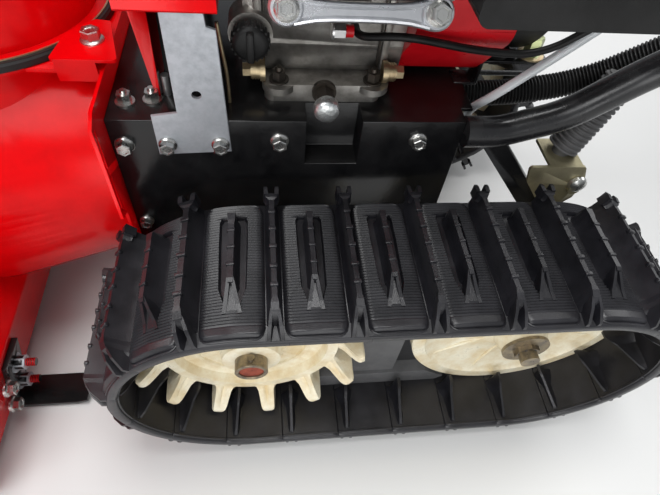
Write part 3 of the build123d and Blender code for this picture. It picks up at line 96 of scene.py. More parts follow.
class Graph:
    """The node graph of one material."""

    def __init__(self, tree: bpy.types.NodeTree) -> None:
        """Take up a material's tree."""
        self.nodes = tree.nodes
        self.links = tree.links

    def fill(self, node: bpy.types.Node, inputs: dict[str | int, Any]) -> None:
        """Link each input that is given a socket, and set each that is given a value."""
        for name, value in inputs.items():
            if isinstance(value, Socket):
                self.links.new(value, node.inputs[name])
            else:
                node.inputs[name].default_value = value

    def add(self, kind: str, inputs: dict[str | int, Any], output: str, **settings: str) -> Socket:
        """Add a node.

        Args:
            kind: Its type, without the prefix.
            inputs: What its inputs take.
            output: The output that is wanted.
            settings: Its own settings, made before its inputs.

        Returns:
            That output.
        """
        node = self.nodes.new(f"ShaderNode{kind}")
        for name, value in settings.items():
            setattr(node, name, value)
        self.fill(node, inputs)
        return node.outputs[output]

    def ranged(self, source: Socket, taken: Place, given: Place) -> Socket:
        """Return a value mapped from the range that is taken onto the range that is given."""
        ends = {"From Min": taken[0], "From Max": taken[1], "To Min": given[0], "To Max": given[1]}
        return self.add("MapRange", {"Value": source, **ends}, "Result")


@dataclass(frozen=True)
class Finish:
    """One surface finish: a colour that wanders in patches, a fine relief and dust on what faces up."""

    name: str
    colour: Colour
    shade: Colour
    roughness: float
    grain: Grain
    metallic: float = 0.0
    wander: float = 0.10
    patch: float = 35.0
    dust: float = 0.0
    clear: float = 0.0
    shine: float = 0.5

    def material(self) -> bpy.types.Material:
        """Return the node material of this finish, built the first time."""
        label = f"{self.name}_finish"
        found = bpy.data.materials.get(label)
        if found:
            return found
        material = bpy.data.materials.new(label)
        material.use_nodes = True
        graph = Graph(material.node_tree)
        place = graph.add("TexCoord", {}, "Object")
        noise = {"Vector": place, "Scale": self.patch, "Detail": 5.0, "Roughness": 0.62}
        patches = graph.add("TexNoise", noise, "Fac")
        reach = graph.ranged(patches, (0.38, 0.68), (0.0, 1.0))
        tones = {"Factor": reach, "A": (*self.colour, 1.0), "B": (*self.shade, 1.0)}
        colour = graph.add("Mix", tones, "Result", data_type="RGBA")
        if self.dust:
            colour = self.dusted(graph, colour, patches)
        spread = (self.roughness - self.wander, self.roughness + self.wander)
        surface = {
            "Base Color": colour,
            "Roughness": graph.ranged(patches, (0.3, 0.75), spread),
            "Metallic": self.metallic,
            "Specular IOR Level": self.shine,
            "Transmission Weight": self.clear,
            "Normal": self.relief(graph, place),
        }
        graph.fill(graph.nodes["Principled BSDF"], surface)
        return material

    def dusted(self, graph: Graph, colour: Socket, patches: Socket) -> Socket:
        """Return the colour with pale dust, broken up in patches, on the faces that look up."""
        normal = graph.add("NewGeometry", {}, "Normal")
        upward = graph.add("SeparateXYZ", {"Vector": normal}, "Z")
        facing = graph.ranged(upward, (0.2, 1.0), (0.0, 2.0 * self.dust))
        amount = graph.add("Math", {0: facing, 1: patches}, "Value", operation="MULTIPLY")
        tones = {"Factor": amount, "A": colour, "B": DUST_COLOUR}
        return graph.add("Mix", tones, "Result", data_type="RGBA")

    def relief(self, graph: Graph, place: Socket) -> Socket:
        """Return the normal bumped by the fine relief at each place."""
        scale, depth, stretch = self.grain.value
        stretched = graph.add("Mapping", {"Vector": place, "Scale": stretch}, "Vector")
        fine = graph.add("TexNoise", {"Vector": stretched, "Scale": scale, "Detail": 3.0}, "Fac")
        return graph.add("Bump", {"Height": fine, "Distance": depth, "Strength": 0.8}, "Normal")


TREAD = Finish(
    "tread_rubber", (0.007, 0.007, 0.009), (0.014, 0.014, 0.018),
    0.36, Grain.RUBBER, wander=0.08, dust=0.02, shine=0.46,
)
SOFT_RUBBER = Finish(
    "soft_rubber", (0.008, 0.008, 0.008), (0.017, 0.017, 0.017),
    0.5, Grain.MOULDED, dust=0.01, shine=0.3,
)
GLOSS_BLACK = Finish(
    "gloss_black_paint", (0.004, 0.004, 0.0045), (0.008, 0.008, 0.0085),
    0.22, Grain.PEEL, wander=0.06, dust=0.01, shine=0.42,
)
TUBE_BLACK = Finish(
    "tube_black_paint", (0.007, 0.007, 0.008), (0.014, 0.014, 0.015),
    0.27, Grain.PEEL, dust=0.01,
)
GLOSS_RED = Finish(
    "gloss_red_paint", (0.64, 0.0008, 0.0025), (0.53, 0.0006, 0.002),
    0.22, Grain.PEEL, wander=0.04, shine=0.15,
)
RED_PLASTIC = Finish(
    "red_plastic", (0.60, 0.006, 0.012), (0.50, 0.003, 0.008),
    0.34, Grain.MOULDED, shine=0.3,
)
BLACK_PLASTIC = Finish(
    "black_plastic", (0.007, 0.007, 0.007), (0.014, 0.014, 0.014),
    0.40, Grain.MOULDED, shine=0.22,
)
CREAM = Finish(
    "cream_plastic", (0.90, 0.84, 0.66), (0.72, 0.58, 0.34),
    0.36, Grain.ROUGH, wander=0.12, patch=44.0,
)
GREY_PAINT = Finish("grey_paint", (0.11, 0.11, 0.112), (0.075, 0.075, 0.076), 0.5, Grain.PEEL, shine=0.3)
ZINC = Finish(
    "bright_zinc", (0.62, 0.62, 0.60), (0.42, 0.42, 0.40),
    0.30, Grain.BRUSHED, metallic=1.0, wander=0.10, patch=80.0,
)
SATIN_ZINC = Finish(
    "satin_zinc", (0.42, 0.44, 0.47), (0.34, 0.36, 0.385),
    0.46, Grain.BRUSHED, metallic=0.45, patch=160.0,
)
OLIVE_ZINC = Finish(
    "olive_zinc", (0.42, 0.38, 0.24), (0.30, 0.27, 0.18),
    0.42, Grain.BRUSHED, metallic=0.8, patch=50.0,
)
RUST = Finish("rust", (0.30, 0.055, 0.025), (0.16, 0.03, 0.015), 0.8, Grain.ROUGH, patch=140.0)
# Cast aluminium of the crankcase. Its colour is darkened to paint in the shadow that the crankcase lies in:
# painted shade.
CAST = Finish(
    "cast_aluminium", (0.38, 0.365, 0.34), (0.17, 0.16, 0.145),
    0.42, Grain.CAST, metallic=0.85, patch=46.0,
)
BRIGHT_CAST = Finish("bright_cast", (0.62, 0.63, 0.65), (0.46, 0.47, 0.49), 0.30, Grain.MOULDED, metallic=0.8)
STAINED_STEEL = Finish(
    "stained_steel", (0.20, 0.17, 0.13), (0.42, 0.34, 0.22),
    0.36, Grain.CAST, metallic=0.85, patch=130.0,
)
MACHINED = Finish(
    "machined_aluminium", (0.66, 0.66, 0.66), (0.52, 0.52, 0.52),
    0.32, Grain.BRUSHED, metallic=0.9,
)
DARK_STEEL = Finish("dark_steel", (0.05, 0.045, 0.04), (0.09, 0.075, 0.06), 0.42, Grain.CAST, metallic=0.8)
GEAR_IRON = Finish("gearbox_iron", (0.030, 0.030, 0.032), (0.055, 0.05, 0.05), 0.5, Grain.CAST, metallic=0.3)
CLEAR_HOSE = Finish("clear_hose", (0.80, 0.83, 0.85), (0.70, 0.73, 0.75), 0.22, Grain.PEEL, clear=0.35)
BRASS = Finish(
    "aged_brass", (0.55, 0.45, 0.28), (0.36, 0.27, 0.16),
    0.38, Grain.CAST, metallic=0.9, patch=120.0,
)
GREEN_ZINC = Finish("green_zinc", (0.40, 0.44, 0.22), (0.28, 0.32, 0.16), 0.34, Grain.PEEL, metallic=0.7)
ROUGH_CAST = Finish(
    "rough_cast_end", (0.74, 0.76, 0.76), (0.40, 0.42, 0.42),
    0.34, Grain.ROUGH, metallic=0.9, patch=300.0,
)
GREY_RUBBER = Finish(
    "grey_rubber", (0.045, 0.045, 0.046), (0.075, 0.075, 0.076),
    0.5, Grain.MOULDED, dust=0.06,
)
LENS = Finish("lamp_lens", (0.86, 0.88, 0.90), (0.80, 0.82, 0.85), 0.12, Grain.PEEL, clear=0.35)


FLANGE_TO_FLATS = 1.45
BEND_SHARE = 0.45
STRAIGHT_HALF_ANGLE = math.radians(89.9)
ARC_STEP = 4.0
SHORT_END = 0.2
SAME_PLACE = 0.004


def aim(origin: Place, direction: Place) -> Matrix:
    """Return the matrix that puts a shape's own Z along a direction, at an origin."""
    turn = Vector(direction).to_track_quat("Z", "Y").to_matrix().to_4x4()
    return Matrix.Translation(Vector(origin)) @ turn


def spokes(count: int, first: Vector = FORWARD, second: Vector = UP, start: float = 0.0) -> list[Vector]:
    """Return evenly spaced rays, a full turn round.

    Args:
        count: How many there are.
        first: The direction that angles are counted from.
        second: The direction that they are counted towards.
        start: The first ray's angle, in radians.

    Returns:
        The rays, each of length 1.
    """
    turns = [start + math.tau * index / count for index in range(count)]
    return [first * math.cos(turn) + second * math.sin(turn) for turn in turns]


def round_edges(bm: Mesh, edges: Iterable[bmesh.types.BMEdge], width: float, segments: int) -> list:
    """Round some edges.

    Args:
        bm: The mesh.
        edges: The edges.
        width: The width of the rounding.
        segments: How many faces go round it.

    Returns:
        The new faces.
    """
    shape = {"profile": 0.5, "affect": "EDGES", "clamp_overlap": True, "material": -1}
    return bmesh.ops.bevel(bm, geom=list(edges), offset=width, segments=segments, **shape)["faces"]


def add_block(bm: Mesh, low: Place, high: Place, rounding: float = 0.0) -> None:
    """Add a block between its lowest and its highest corner, with rounded edges where a width is given."""
    low, high = Vector(low), Vector(high)
    place = Matrix.Translation((low + high) / 2) @ Matrix.Diagonal((*(high - low), 1.0))
    verts = bmesh.ops.create_cube(bm, size=1.0, matrix=place)["verts"]
    if rounding:
        round_edges(bm, {edge for vert in verts for edge in vert.link_edges}, rounding, 2)


def add_rod(
    bm: Mesh,
    start: Place,
    end: Place,
    radius: float,
    end_radius: float | None = None,
    segments: int = 24,
) -> list[bmesh.types.BMVert]:
    """Add a round or tapered bar.

    Args:
        bm: The mesh.
        start: The centre of one end.
        end: The centre of the other.
        radius: The radius at the start.
        end_radius: The radius at the end, if it differs.
        segments: The number of sides.

    Returns:
        Its vertices.
    """
    start, end = Vector(start), Vector(end)
    return bmesh.ops.create_cone(
        bm,
        cap_ends=True,
        segments=segments,
        radius1=radius,
        radius2=radius if end_radius is None else end_radius,
        depth=(end - start).length,
        matrix=aim((start + end) / 2, end - start),
    )["verts"]


def add_bolt(bm: Mesh, seat: Place, direction: Place, across: float) -> None:
    """Add a flanged hexagon head with a dimpled top.

    Args:
        bm: The mesh.
        seat: Where the flange sits.
        direction: Which way the head stands out.
        across: The width across the flats.
    """
    seat, out = Vector(seat), Vector(direction).normalized()
    rim = across * FLANGE_TO_FLATS / 2
    add_rod(bm, seat - out * 0.5, seat + out * 1.2, rim, rim * 0.97, 28)
    add_rod(bm, seat + out * 1.2, seat + out * 2.2, rim * 0.95, rim * 0.80, 28)
    head = add_rod(bm, seat + out * 2.0, seat + out * (2.0 + across * 0.5), across / math.sqrt(3), segments=6)
    faces = {face for vert in head for face in vert.link_faces}
    top = max(faces, key=lambda face: face.calc_center_median().dot(out))
    for inset, rise in ((0.06, 0.05), (0.14, 0.0), (0.05, -0.07)):
        bmesh.ops.inset_region(bm, faces=[top], thickness=across * inset, depth=across * rise)


def add_nut(bm: Mesh, seat: Place, direction: Place, across: float) -> None:
    """Add a nut with its washer and the end of its stud.

    Args:
        bm: The mesh.
        seat: Where the washer sits.
        direction: Which way the stud points.
        across: The width across the flats.
    """
    seat, out = Vector(seat), Vector(direction).normalized()
    top = seat + out * (1.5 + across * 0.75)
    add_rod(bm, seat, seat + out * 1.5, across * 0.8, segments=28)
    add_rod(bm, seat + out * 1.5, top, across / math.sqrt(3), segments=6)
    add_rod(bm, top, top + out * across * 0.28, across * 0.30, across * 0.24, 16)


def turn_profile(
    bm: Mesh, profile: Sequence[tuple[float, float]], origin: Place, axis: Place, steps: int = 48
) -> None:
    """Add a turned shape from a closed profile.

    Args:
        bm: The mesh.
        profile: Its points as radius and distance along the axis.
        origin: Where that distance is zero.
        axis: The direction of the axis.
        steps: The number of faces round it.
    """
    origin, axis = Vector(origin), Vector(axis).normalized()
    side = axis.orthogonal().normalized()
    verts = [bm.verts.new(origin + side * radius + axis * along) for radius, along in profile]
    edges = [bm.edges.new(pair) for pair in zip(verts, verts[1:] + verts[:1])]
    merge = {"use_merge": True, "use_duplicate": False}
    bmesh.ops.spin(bm, geom=verts + edges, cent=origin, axis=axis, angle=math.tau, steps=steps, **merge)


def add_screw(bm: Mesh, seat: Place, out: Place, across: float) -> None:
    """Add a button head with a hexagon socket, standing out of its seat."""
    r = across / 2
    profile = [(0, -0.4), (r, -0.4), (r, r * 0.2), (r * 0.8, r * 0.55), (r * 0.45, r * 0.62)]
    turn_profile(bm, profile + [(r * 0.45, r * 0.2), (0, r * 0.2)], seat, out, 20)


def add_loft(bm: Mesh, outlines: Iterable[Iterable[Vector]]) -> None:
    """Add a closed shape whose outline changes from one end to the other.

    Args:
        bm: The mesh.
        outlines: Its outlines in order.
    """
    rings = [[bm.verts.new(place) for place in outline] for outline in outlines]
    for before, after in zip(rings, rings[1:]):
        for index, vert in enumerate(after):
            bm.faces.new((before[index - 1], before[index], vert, after[index - 1]))
    for ring in (rings[0], rings[-1]):
        bm.faces.new(ring)


def bent_route(points: Sequence[Place], radii: Sequence[float] | None, step: float) -> list[Vector]:
    """Lay straight runs joined by tangent arcs along some points and read places on them at even steps.

    Args:
        points: The corners of the route.
        radii: The radius at each inner corner, or nothing for bends that take their share of the shorter run.
        step: The distance between two places.

    Returns:
        The places, from the first point to the last.
    """
    corners_at = [Vector(point) for point in points]
    line = [corners_at[0]]
    for index in range(1, len(corners_at) - 1):
        here = corners_at[index]
        back, ahead = corners_at[index - 1] - here, corners_at[index + 1] - here
        half = back.angle(ahead) / 2
        if half > STRAIGHT_HALF_ANGLE:
            continue
        reach = BEND_SHARE * min(back.length, ahead.length)
        if radii:
            reach = radii[index - 1] / math.tan(half)
        radius = reach * math.tan(half)
        centre = here + (back.normalized() + ahead.normalized()).normalized() * (radius / math.sin(half))
        first = (here + back.normalized() * reach - centre).normalized()
        last = (here + ahead.normalized() * reach - centre).normalized()
        parts = max(3, math.ceil((math.pi - 2 * half) * radius / min(step, ARC_STEP)))
        line += [centre + first.slerp(last, part / parts) * radius for part in range(parts + 1)]
    line.append(corners_at[-1])
    places, carried = [line[0]], 0.0
    for before, after in zip(line, line[1:]):
        length = (after - before).length
        while length and carried + length >= step:
            before = before.lerp(after, (step - carried) / length)
            places.append(before)
            length = (after - before).length
            carried = 0.0
        carried += length
    if (places[-1] - line[-1]).length > SHORT_END * step:
        places.append(line[-1])
    return places


def grow_ring(bm: Mesh, ring: list) -> tuple[list, list]:
    """Extrude a ring of edges where it lies, and return the new vertices and the new ring."""
    grown = bmesh.ops.extrude_edge_only(bm, edges=ring)["geom"]
    fresh = [item for item in grown if isinstance(item, bmesh.types.BMVert)]
    edges = [item for item in grown if isinstance(item, bmesh.types.BMEdge)]
    return fresh, [edge for edge in edges if all(vert in fresh for vert in edge.verts)]


def add_sweep(bm: Mesh, places: Sequence[Vector], radii: Sequence[float], segments: int) -> None:
    """Draw a round section along a line, with a radius for each place.

    Args:
        bm: The mesh.
        places: The line.
        radii: The radii, used over again when they run out.
        segments: The number of sides.
    """
    turn = (places[1] - places[0]).to_track_quat("Z", "Y")
    now = Matrix.LocRotScale(places[0], turn, Vector((radii[0],) * 3))
    start = bmesh.ops.create_circle(bm, cap_ends=True, segments=segments, radius=1.0, matrix=now)["verts"]
    ring = list({edge for vert in start for edge in vert.link_edges})
    for index in range(1, len(places)):
        here, after = places[index], places[min(index + 1, len(places) - 1)]
        heading = (after - places[index - 1]).normalized()
        turn = (turn @ UP).rotation_difference(heading) @ turn
        following = Matrix.LocRotScale(here, turn, Vector((radii[index % len(radii)],) * 3))
        verts, ring = grow_ring(bm, ring)
        bmesh.ops.transform(bm, matrix=following @ now.inverted(), verts=verts)
        now = following
    bmesh.ops.holes_fill(bm, edges=ring, sides=segments)


def finish_piece(
    bm: Mesh,
    name: str,
    body: Body,
    finish: Finish,
    replaces: Sequence[str] = (),
    closed: bool = True,
    sharp: float = 38.0,
    keep_flat: bool = False,
) -> None:
    """Turn a mesh into a piece of the machine.

    Args:
        bm: The mesh, in millimetres. It is used up.
        name: The piece's name.
        body: The body that it rides on.
        finish: Its surface finish.
        replaces: The nodes that it stands for.
        closed: Whether its shells are closed, so that their normals can be worked out.
        sharp: The angle past which an edge stays sharp, in degrees.
        keep_flat: Whether each face keeps its own shading.
    """
    if closed:
        bmesh.ops.remove_doubles(bm, verts=bm.verts, dist=SAME_PLACE)
        bmesh.ops.recalc_face_normals(bm, faces=bm.faces)
    bmesh.ops.scale(bm, vec=Vector((MM, MM, MM)), verts=bm.verts)
    mesh = bpy.data.meshes.new(name)
    bm.to_mesh(mesh)
    bm.free()
    if not keep_flat:
        mesh.shade_smooth()
    mesh.set_sharp_from_angle(angle=math.radians(sharp))
    mesh.materials.append(finish.material())
    piece = bpy.data.objects.new(name, mesh)
    bpy.context.scene.collection.objects.link(piece)
    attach(piece, body.value)
    if replaces:
        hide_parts(*replaces)
    LOG.info("%s: %d faces", name, len(mesh.polygons))


@dataclass(frozen=True)
class Detail:
    """A piece made of small shapes: for each, the function that adds it and what that takes."""

    name: str
    finish: Finish
    shapes: Sequence[tuple]
    replaces: tuple[str, ...] = ()
    body: Body = Body.MACHINE
    sharp: float = 38.0

    def build(self) -> None:
        """Build the piece."""
        bm = bmesh.new()
        for add, *values in self.shapes:
            add(bm, *values)
        finish_piece(bm, self.name, self.body, self.finish, self.replaces, sharp=self.sharp)


AXLE_Z = 141.99
DRIVE_X = 155.0
WHEEL_SPACING = 270.0
TRACK_MIDDLE_Y = 208.0
SIDES = {1: "left", -1: "right"}


@dataclass
class RubberTrack:
    """One rubber track: a belt with a tread outside and guide fins inside."""

    side: int
    pitch: float = 60.0
    teeth: int = 12
    outer_radius: float = 120.0
    first_lug: float = 21.4
    half_width: float = 64.5
    belt_top: float = -1.0
    belt_low: float = -9.5
    lug_height: float = 21.9
    panel_half_length: float = 61.0
    panel_half_width: float = 23.4
    ribs: int = 48
    groove_at: float = 31.2

    @property
    def wrap(self) -> float:
        """Length of the pitch line round one wheel."""
        return self.teeth * self.pitch / 2

    @property
    def count(self) -> int:
        """Number of lugs round the loop."""
        return round(2 * (WHEEL_SPACING + self.wrap) / self.pitch)

    def on_loop(self, flat: Vector) -> Vector:
        """Bend a flat place onto the loop.

        Args:
            flat: The distance along the pitch line, across the track, and out of the belt.

        Returns:
            The place in the machine's frame.
        """
        half = self.wrap + WHEEL_SPACING
        distance = flat.x % (2 * half)
        rear, along = divmod(distance, half)
        turn = math.pi * (rear + min(along, self.wrap) / self.wrap)
        run = max(0.0, along - self.wrap)
        centre_x = DRIVE_X - WHEEL_SPACING + run if rear else DRIVE_X - run
        radius = self.outer_radius + flat.z
        y = self.side * (TRACK_MIDDLE_Y + flat.y)
        return Vector((centre_x + radius * math.sin(turn), y, AXLE_Z - radius * math.cos(turn)))

    def ridge(self, bm: Mesh, stations: Iterable[tuple[float, ...]], foot_at: float) -> None:
        """Add a lug or a fin as a section that changes along its length.

        Args:
            bm: The flat mesh.
            stations: For each: place across, shift along, crest width, foot width and crest height.
            foot_at: The height of its foot.
        """
        face, before = None, []
        for across, shift, crest, foot, top in stations:
            waist = crest + 0.22 * (foot - crest)
            knee = foot_at + 0.30 * (top - foot_at)
            rising = [(-foot, foot_at), (-waist, knee), (-crest, top)]
            section = rising + [(-width, height) for width, height in reversed(rising)]
            places = [Vector((shift + width / 2, across, height)) for width, height in section]
            if face is None:
                face = bm.faces.new([bm.verts.new(place) for place in places])
            else:
                grown = bmesh.ops.extrude_face_region(bm, geom=[face])["geom"]
                face = next(item for item in grown if isinstance(item, bmesh.types.BMFace))
                for vert in face.verts:
                    nearest = min(range(len(before)), key=lambda index: (before[index] - vert.co).length)
                    vert.co = places[nearest]
            before = places

    def panel(self, bm: Mesh) -> None:
        """Add the raised panel between two lugs, ribbed across, with the pocket round its short lug.

        Args:
            bm: The flat mesh.
        """
        length, width = self.panel_half_length, self.panel_half_width
        for vert in bmesh.ops.create_grid(bm, x_segments=14, y_segments=self.ribs * 4, size=1.0)["verts"]:
            column = round((vert.co.x + 1) * 7) - 7
            across = vert.co.y * length
            pocket = 9.6 - 0.9 * max(0.0, (across + 20) / 40) - 0.28 * max(0.0, across - 21)
            pocket = max(pocket - 0.5 * max(0.0, -43.5 - across), 0.4)
            side = (0.0, pocket, pocket + 1.1, 14.2, 17.4, 20.4, 22.2, width)[abs(column)]
            corner = max(0.0, abs(across) - 52.0) / 9.0
            narrowed = 1.0 - 0.30 * (1.0 - math.sqrt(max(0.0, 1.0 - corner * corner)))
            rim = min(1.0, (length - abs(across)) / 2.4, (width - side) / 1.8)
            crown = 1.2 * (1.0 - (side / width) ** 2)
            fade = min(1.0, max(0.0, (53.0 - across) / 1.5))
            rib = 0.5 * fade * math.cos(math.tau * (vert.co.y + 1) / 2 * self.ribs)
            height = self.belt_top + rim * (3.0 + crown + rib)
            if side <= pocket and -47.5 < across < 40.0:
                height = self.belt_top + 0.15
            along = math.copysign(side * narrowed, column)
            vert.co = Vector((self.pitch / 2 + along, across, height))

    def full_lug(self, bm: Mesh, foot: float) -> None:
        """Add the full lug with its forks, its nubs and the seams beside it.

        Args:
            bm: The flat mesh.
            foot: The height of its foot.
        """
        top = self.lug_height
        spine = (
            (-64, 6.0, 9.0, 9.5), (-57, 6.4, 12.0, 7.0), (-52, 4.6, 12.5, 2.4), (-46, 3.8, 12.5, 2.0),
            (40, 3.8, 12.5, 2.0), (44, 5.6, 12.5, 2.2), (49, 5.8, 12.8, 4.6), (52, 5.4, 12.6, 8.0),
        )
        self.ridge(bm, [(across, 0.0, crest, base, top - drop) for across, crest, base, drop in spine], foot)
        seam = [(-22.5, 50, -0.9), (-22, 58, -0.7), (-18, 62.4, -0.5)]
        seam += [(-along, across, height) for along, across, height in reversed(seam)]
        for way in (-1, 1):
            fork = [(48, way * 2.4, 2.0, 4.6, top - 4.4), (56, way * 3.6, 2.4, 4.2, top - 9.5)]
            self.ridge(bm, fork + [(64, way * 4.8, 2.4, 3.8, 3.0)], foot)
            horn = [(-64.5, way * 4.6, 2.8, 3.6, top - 0.9), (-61.5, way * 4.5, 3.2, 4.2, top)]
            self.ridge(bm, horn + [(-56, way * 4.2, 3.4, 4.4, top - 0.4)], top - 11.0)
            line = [(self.pitch / 2 + along, way * across, height) for along, across, height in seam]
            add_sweep(bm, bent_route(line, None, 3.0), (0.8,), 6)
        saddle = [(-57.5, 0, 11, 12, top - 1.6), (-53.5, 0, 9, 11, top - 1.2), (-51, 0, 4, 9, top - 2.2)]
        self.ridge(bm, saddle, top - 9.0)
        for place in (-38.0, -21.0, -4.0, 14.0, 30.0):
            add_block(bm, (-2.9, place - 1.6, top - 4.0), (2.9, place + 1.6, top - 0.5), 0.5)

    def short_lug(self, bm: Mesh, foot: float) -> None:
        """Add the short lug in the panel's pocket, with its fishtail.

        Args:
            bm: The flat mesh.
            foot: The height of its foot.
        """
        low, middle = self.lug_height - 5.0, self.pitch / 2
        spine = (
            (-45, 3.0, 8.0, 6.0), (-41, 5.4, 10.5, low), (-34, 4.6, 10.5, low),
            (-30, 3.8, 10.0, low - 0.6), (20, 3.8, 10.0, low - 0.8), (23, 3.2, 7.0, low - 2.2),
        )
        tail = (
            (19, 1.2, 1.9, 2.8, low - 1.4), (28, 2.6, 2.4, 3.4, low * 0.62),
            (36, 4.2, 2.8, 4.0, 5.4), (42, 5.4, 2.8, 4.2, 3.2),
        )
        web = ((19, 2.4, 3.0, low * 0.62), (29, 4.4, 5.2, low * 0.40), (41, 8.0, 9.0, 3.0))
        self.ridge(bm, [(across, middle, *rest) for across, *rest in spine], foot)
        for way in (-1, 1):
            self.ridge(bm, [(across, middle + way * shift, *rest) for across, shift, *rest in tail], foot)
        self.ridge(bm, [(across, middle, *rest) for across, *rest in web], foot)
        for place in (-24.0, -8.0, 8.0):
            add_block(bm, (middle - 2.6, place - 1.4, low - 3.0), (middle + 2.6, place + 1.4, low + 0.3), 0.5)

    def fins(self, bm: Mesh) -> None:
        """Add the pair of guide fins inside the belt.

        Args:
            bm: The flat mesh.
        """
        low = self.belt_low
        fin = (
            (57.0, 3.2, 8.5, 2.0), (52.0, 2.8, 9.5, 6.0), (30.0, 2.8, 11.0, 17.5),
            (21.0, 3.4, 19.0, 26.5), (14.0, 3.4, 22.0, 26.5), (12.5, 2.4, 18.0, 22.0),
        )
        for way in (-1, 1):
            stations = [(way * across, 0.0, crest, base, low - drop) for across, crest, base, drop in fin]
            self.ridge(bm, stations, low + 1.0)

    def belt(self, bm: Mesh) -> None:
        """Add the plain belt as a section drawn all round, with its beads and cross grooves.

        Args:
            bm: The flat mesh.
        """
        half, top, low = self.half_width, self.belt_top, self.belt_low
        section = [(-half, low + 1.5), (-half + 1.5, low)]
        for middle in (4.2 - half, half - 4.2):
            bead = ((-1.4, 0.0), (-0.7, 1.0), (0.7, 1.0), (1.4, 0.0))
            section += [(middle + shift, low - rise) for shift, rise in bead]
        section += [(half - 1.5, low), (half, low + 1.5)]
        section += [(half, top - 1.2), (half - 1.2, top), (-half + 1.2, top), (-half, top - 1.2)]
        verts = [bm.verts.new((0.0, across, height)) for across, height in section]
        ring = [bm.edges.new(pair) for pair in zip(verts, verts[1:] + verts[:1])]
        groove = self.groove_at
        parts = (8.0, 16.0, 24.0, groove - 0.6, groove, groove + 0.6, 38.0, 46.0, 53.0, self.pitch)
        steps = [0.0] + [lug * self.pitch + part for lug in range(self.count) for part in parts]
        for before, after in zip(steps, steps[1:]):
            fresh, ring = grow_ring(bm, ring)
            bmesh.ops.translate(bm, vec=FORWARD * (after - before), verts=fresh)
            for place, reach, rise in ((groove, 0.1, 0.9), (groove + 0.6, 1.1, -0.9)):
                if abs(after % self.pitch - place) < 0.01:
                    for vert in [vert for vert in fresh if vert.co.z < low + reach]:
                        vert.co.z += rise

    def build(self) -> None:
        """Build the whole track and put it in place of the plain one."""
        unit = bmesh.new()
        self.full_lug(unit, self.belt_top - 0.5)
        self.short_lug(unit, self.belt_top - 0.5)
        self.fins(unit)
        bmesh.ops.recalc_face_normals(unit, faces=unit.faces)
        self.panel(unit)
        template = bpy.data.meshes.new("track_pitch")
        unit.to_mesh(template)
        unit.free()
        bm = bmesh.new()
        for lug in range(self.count):
            before = len(bm.verts)
            bm.from_mesh(template)
            bm.verts.ensure_lookup_table()
            shift = FORWARD * (self.first_lug + lug * self.pitch)
            bmesh.ops.translate(bm, vec=shift, verts=bm.verts[before:])
        before = len(bm.faces)
        self.belt(bm)
        bm.faces.ensure_lookup_table()
        bmesh.ops.recalc_face_normals(bm, faces=bm.faces[before:])
        for vert in bm.verts:
            vert.co = self.on_loop(vert.co)
        if self.side > 0:
            bmesh.ops.reverse_faces(bm, faces=bm.faces)
        bpy.data.meshes.remove(template)
        side = SIDES[self.side]
        node = [f"track_{side}"]
        finish_piece(bm, f"rubber_track_{side}", Body.UNDERCARRIAGE, TREAD, node, closed=False, sharp=50.0)


def rods_along(seat: Place, axis: Vector, runs: Iterable[tuple[float, float, float, int]]) -> list[tuple]:
    """Return the shapes of bars in line.

    Args:
        seat: The place that distances are counted from.
        axis: The direction of the line.
        runs: For each bar: its two ends along the line, its radius and its number of sides.

    Returns:
        The shapes.
    """
    seat = Vector(seat)
    return [(add_rod, seat + axis * low, seat + axis * high, r, None, sides) for low, high, r, sides in runs]


@dataclass(frozen=True)
class Wheel:
    """A wheel inside one of the tracks."""

    side: int
    centre_x: float

    def place(self, across: float = 0.0) -> Vector:
        """Return the wheel's centre, or a place beside it towards the outside."""
        return Vector((self.centre_x, self.side * (TRACK_MIDDLE_Y + across), AXLE_Z))

    def piece(self, name: str, finish: Finish, shapes: Sequence[tuple], replaced: str = "") -> None:
        """Build one piece of the wheel, named after its side.

        Args:
            name: The piece's name without its side.
            finish: Its surface finish.
            shapes: The shapes that make it.
            replaced: The node that it stands for, without its side.
        """
        side = SIDES[self.side]
        nodes = (f"{replaced}_{side}",) if replaced else ()
        Detail(f"{name}_{side}", finish, shapes, nodes, Body.UNDERCARRIAGE).build()


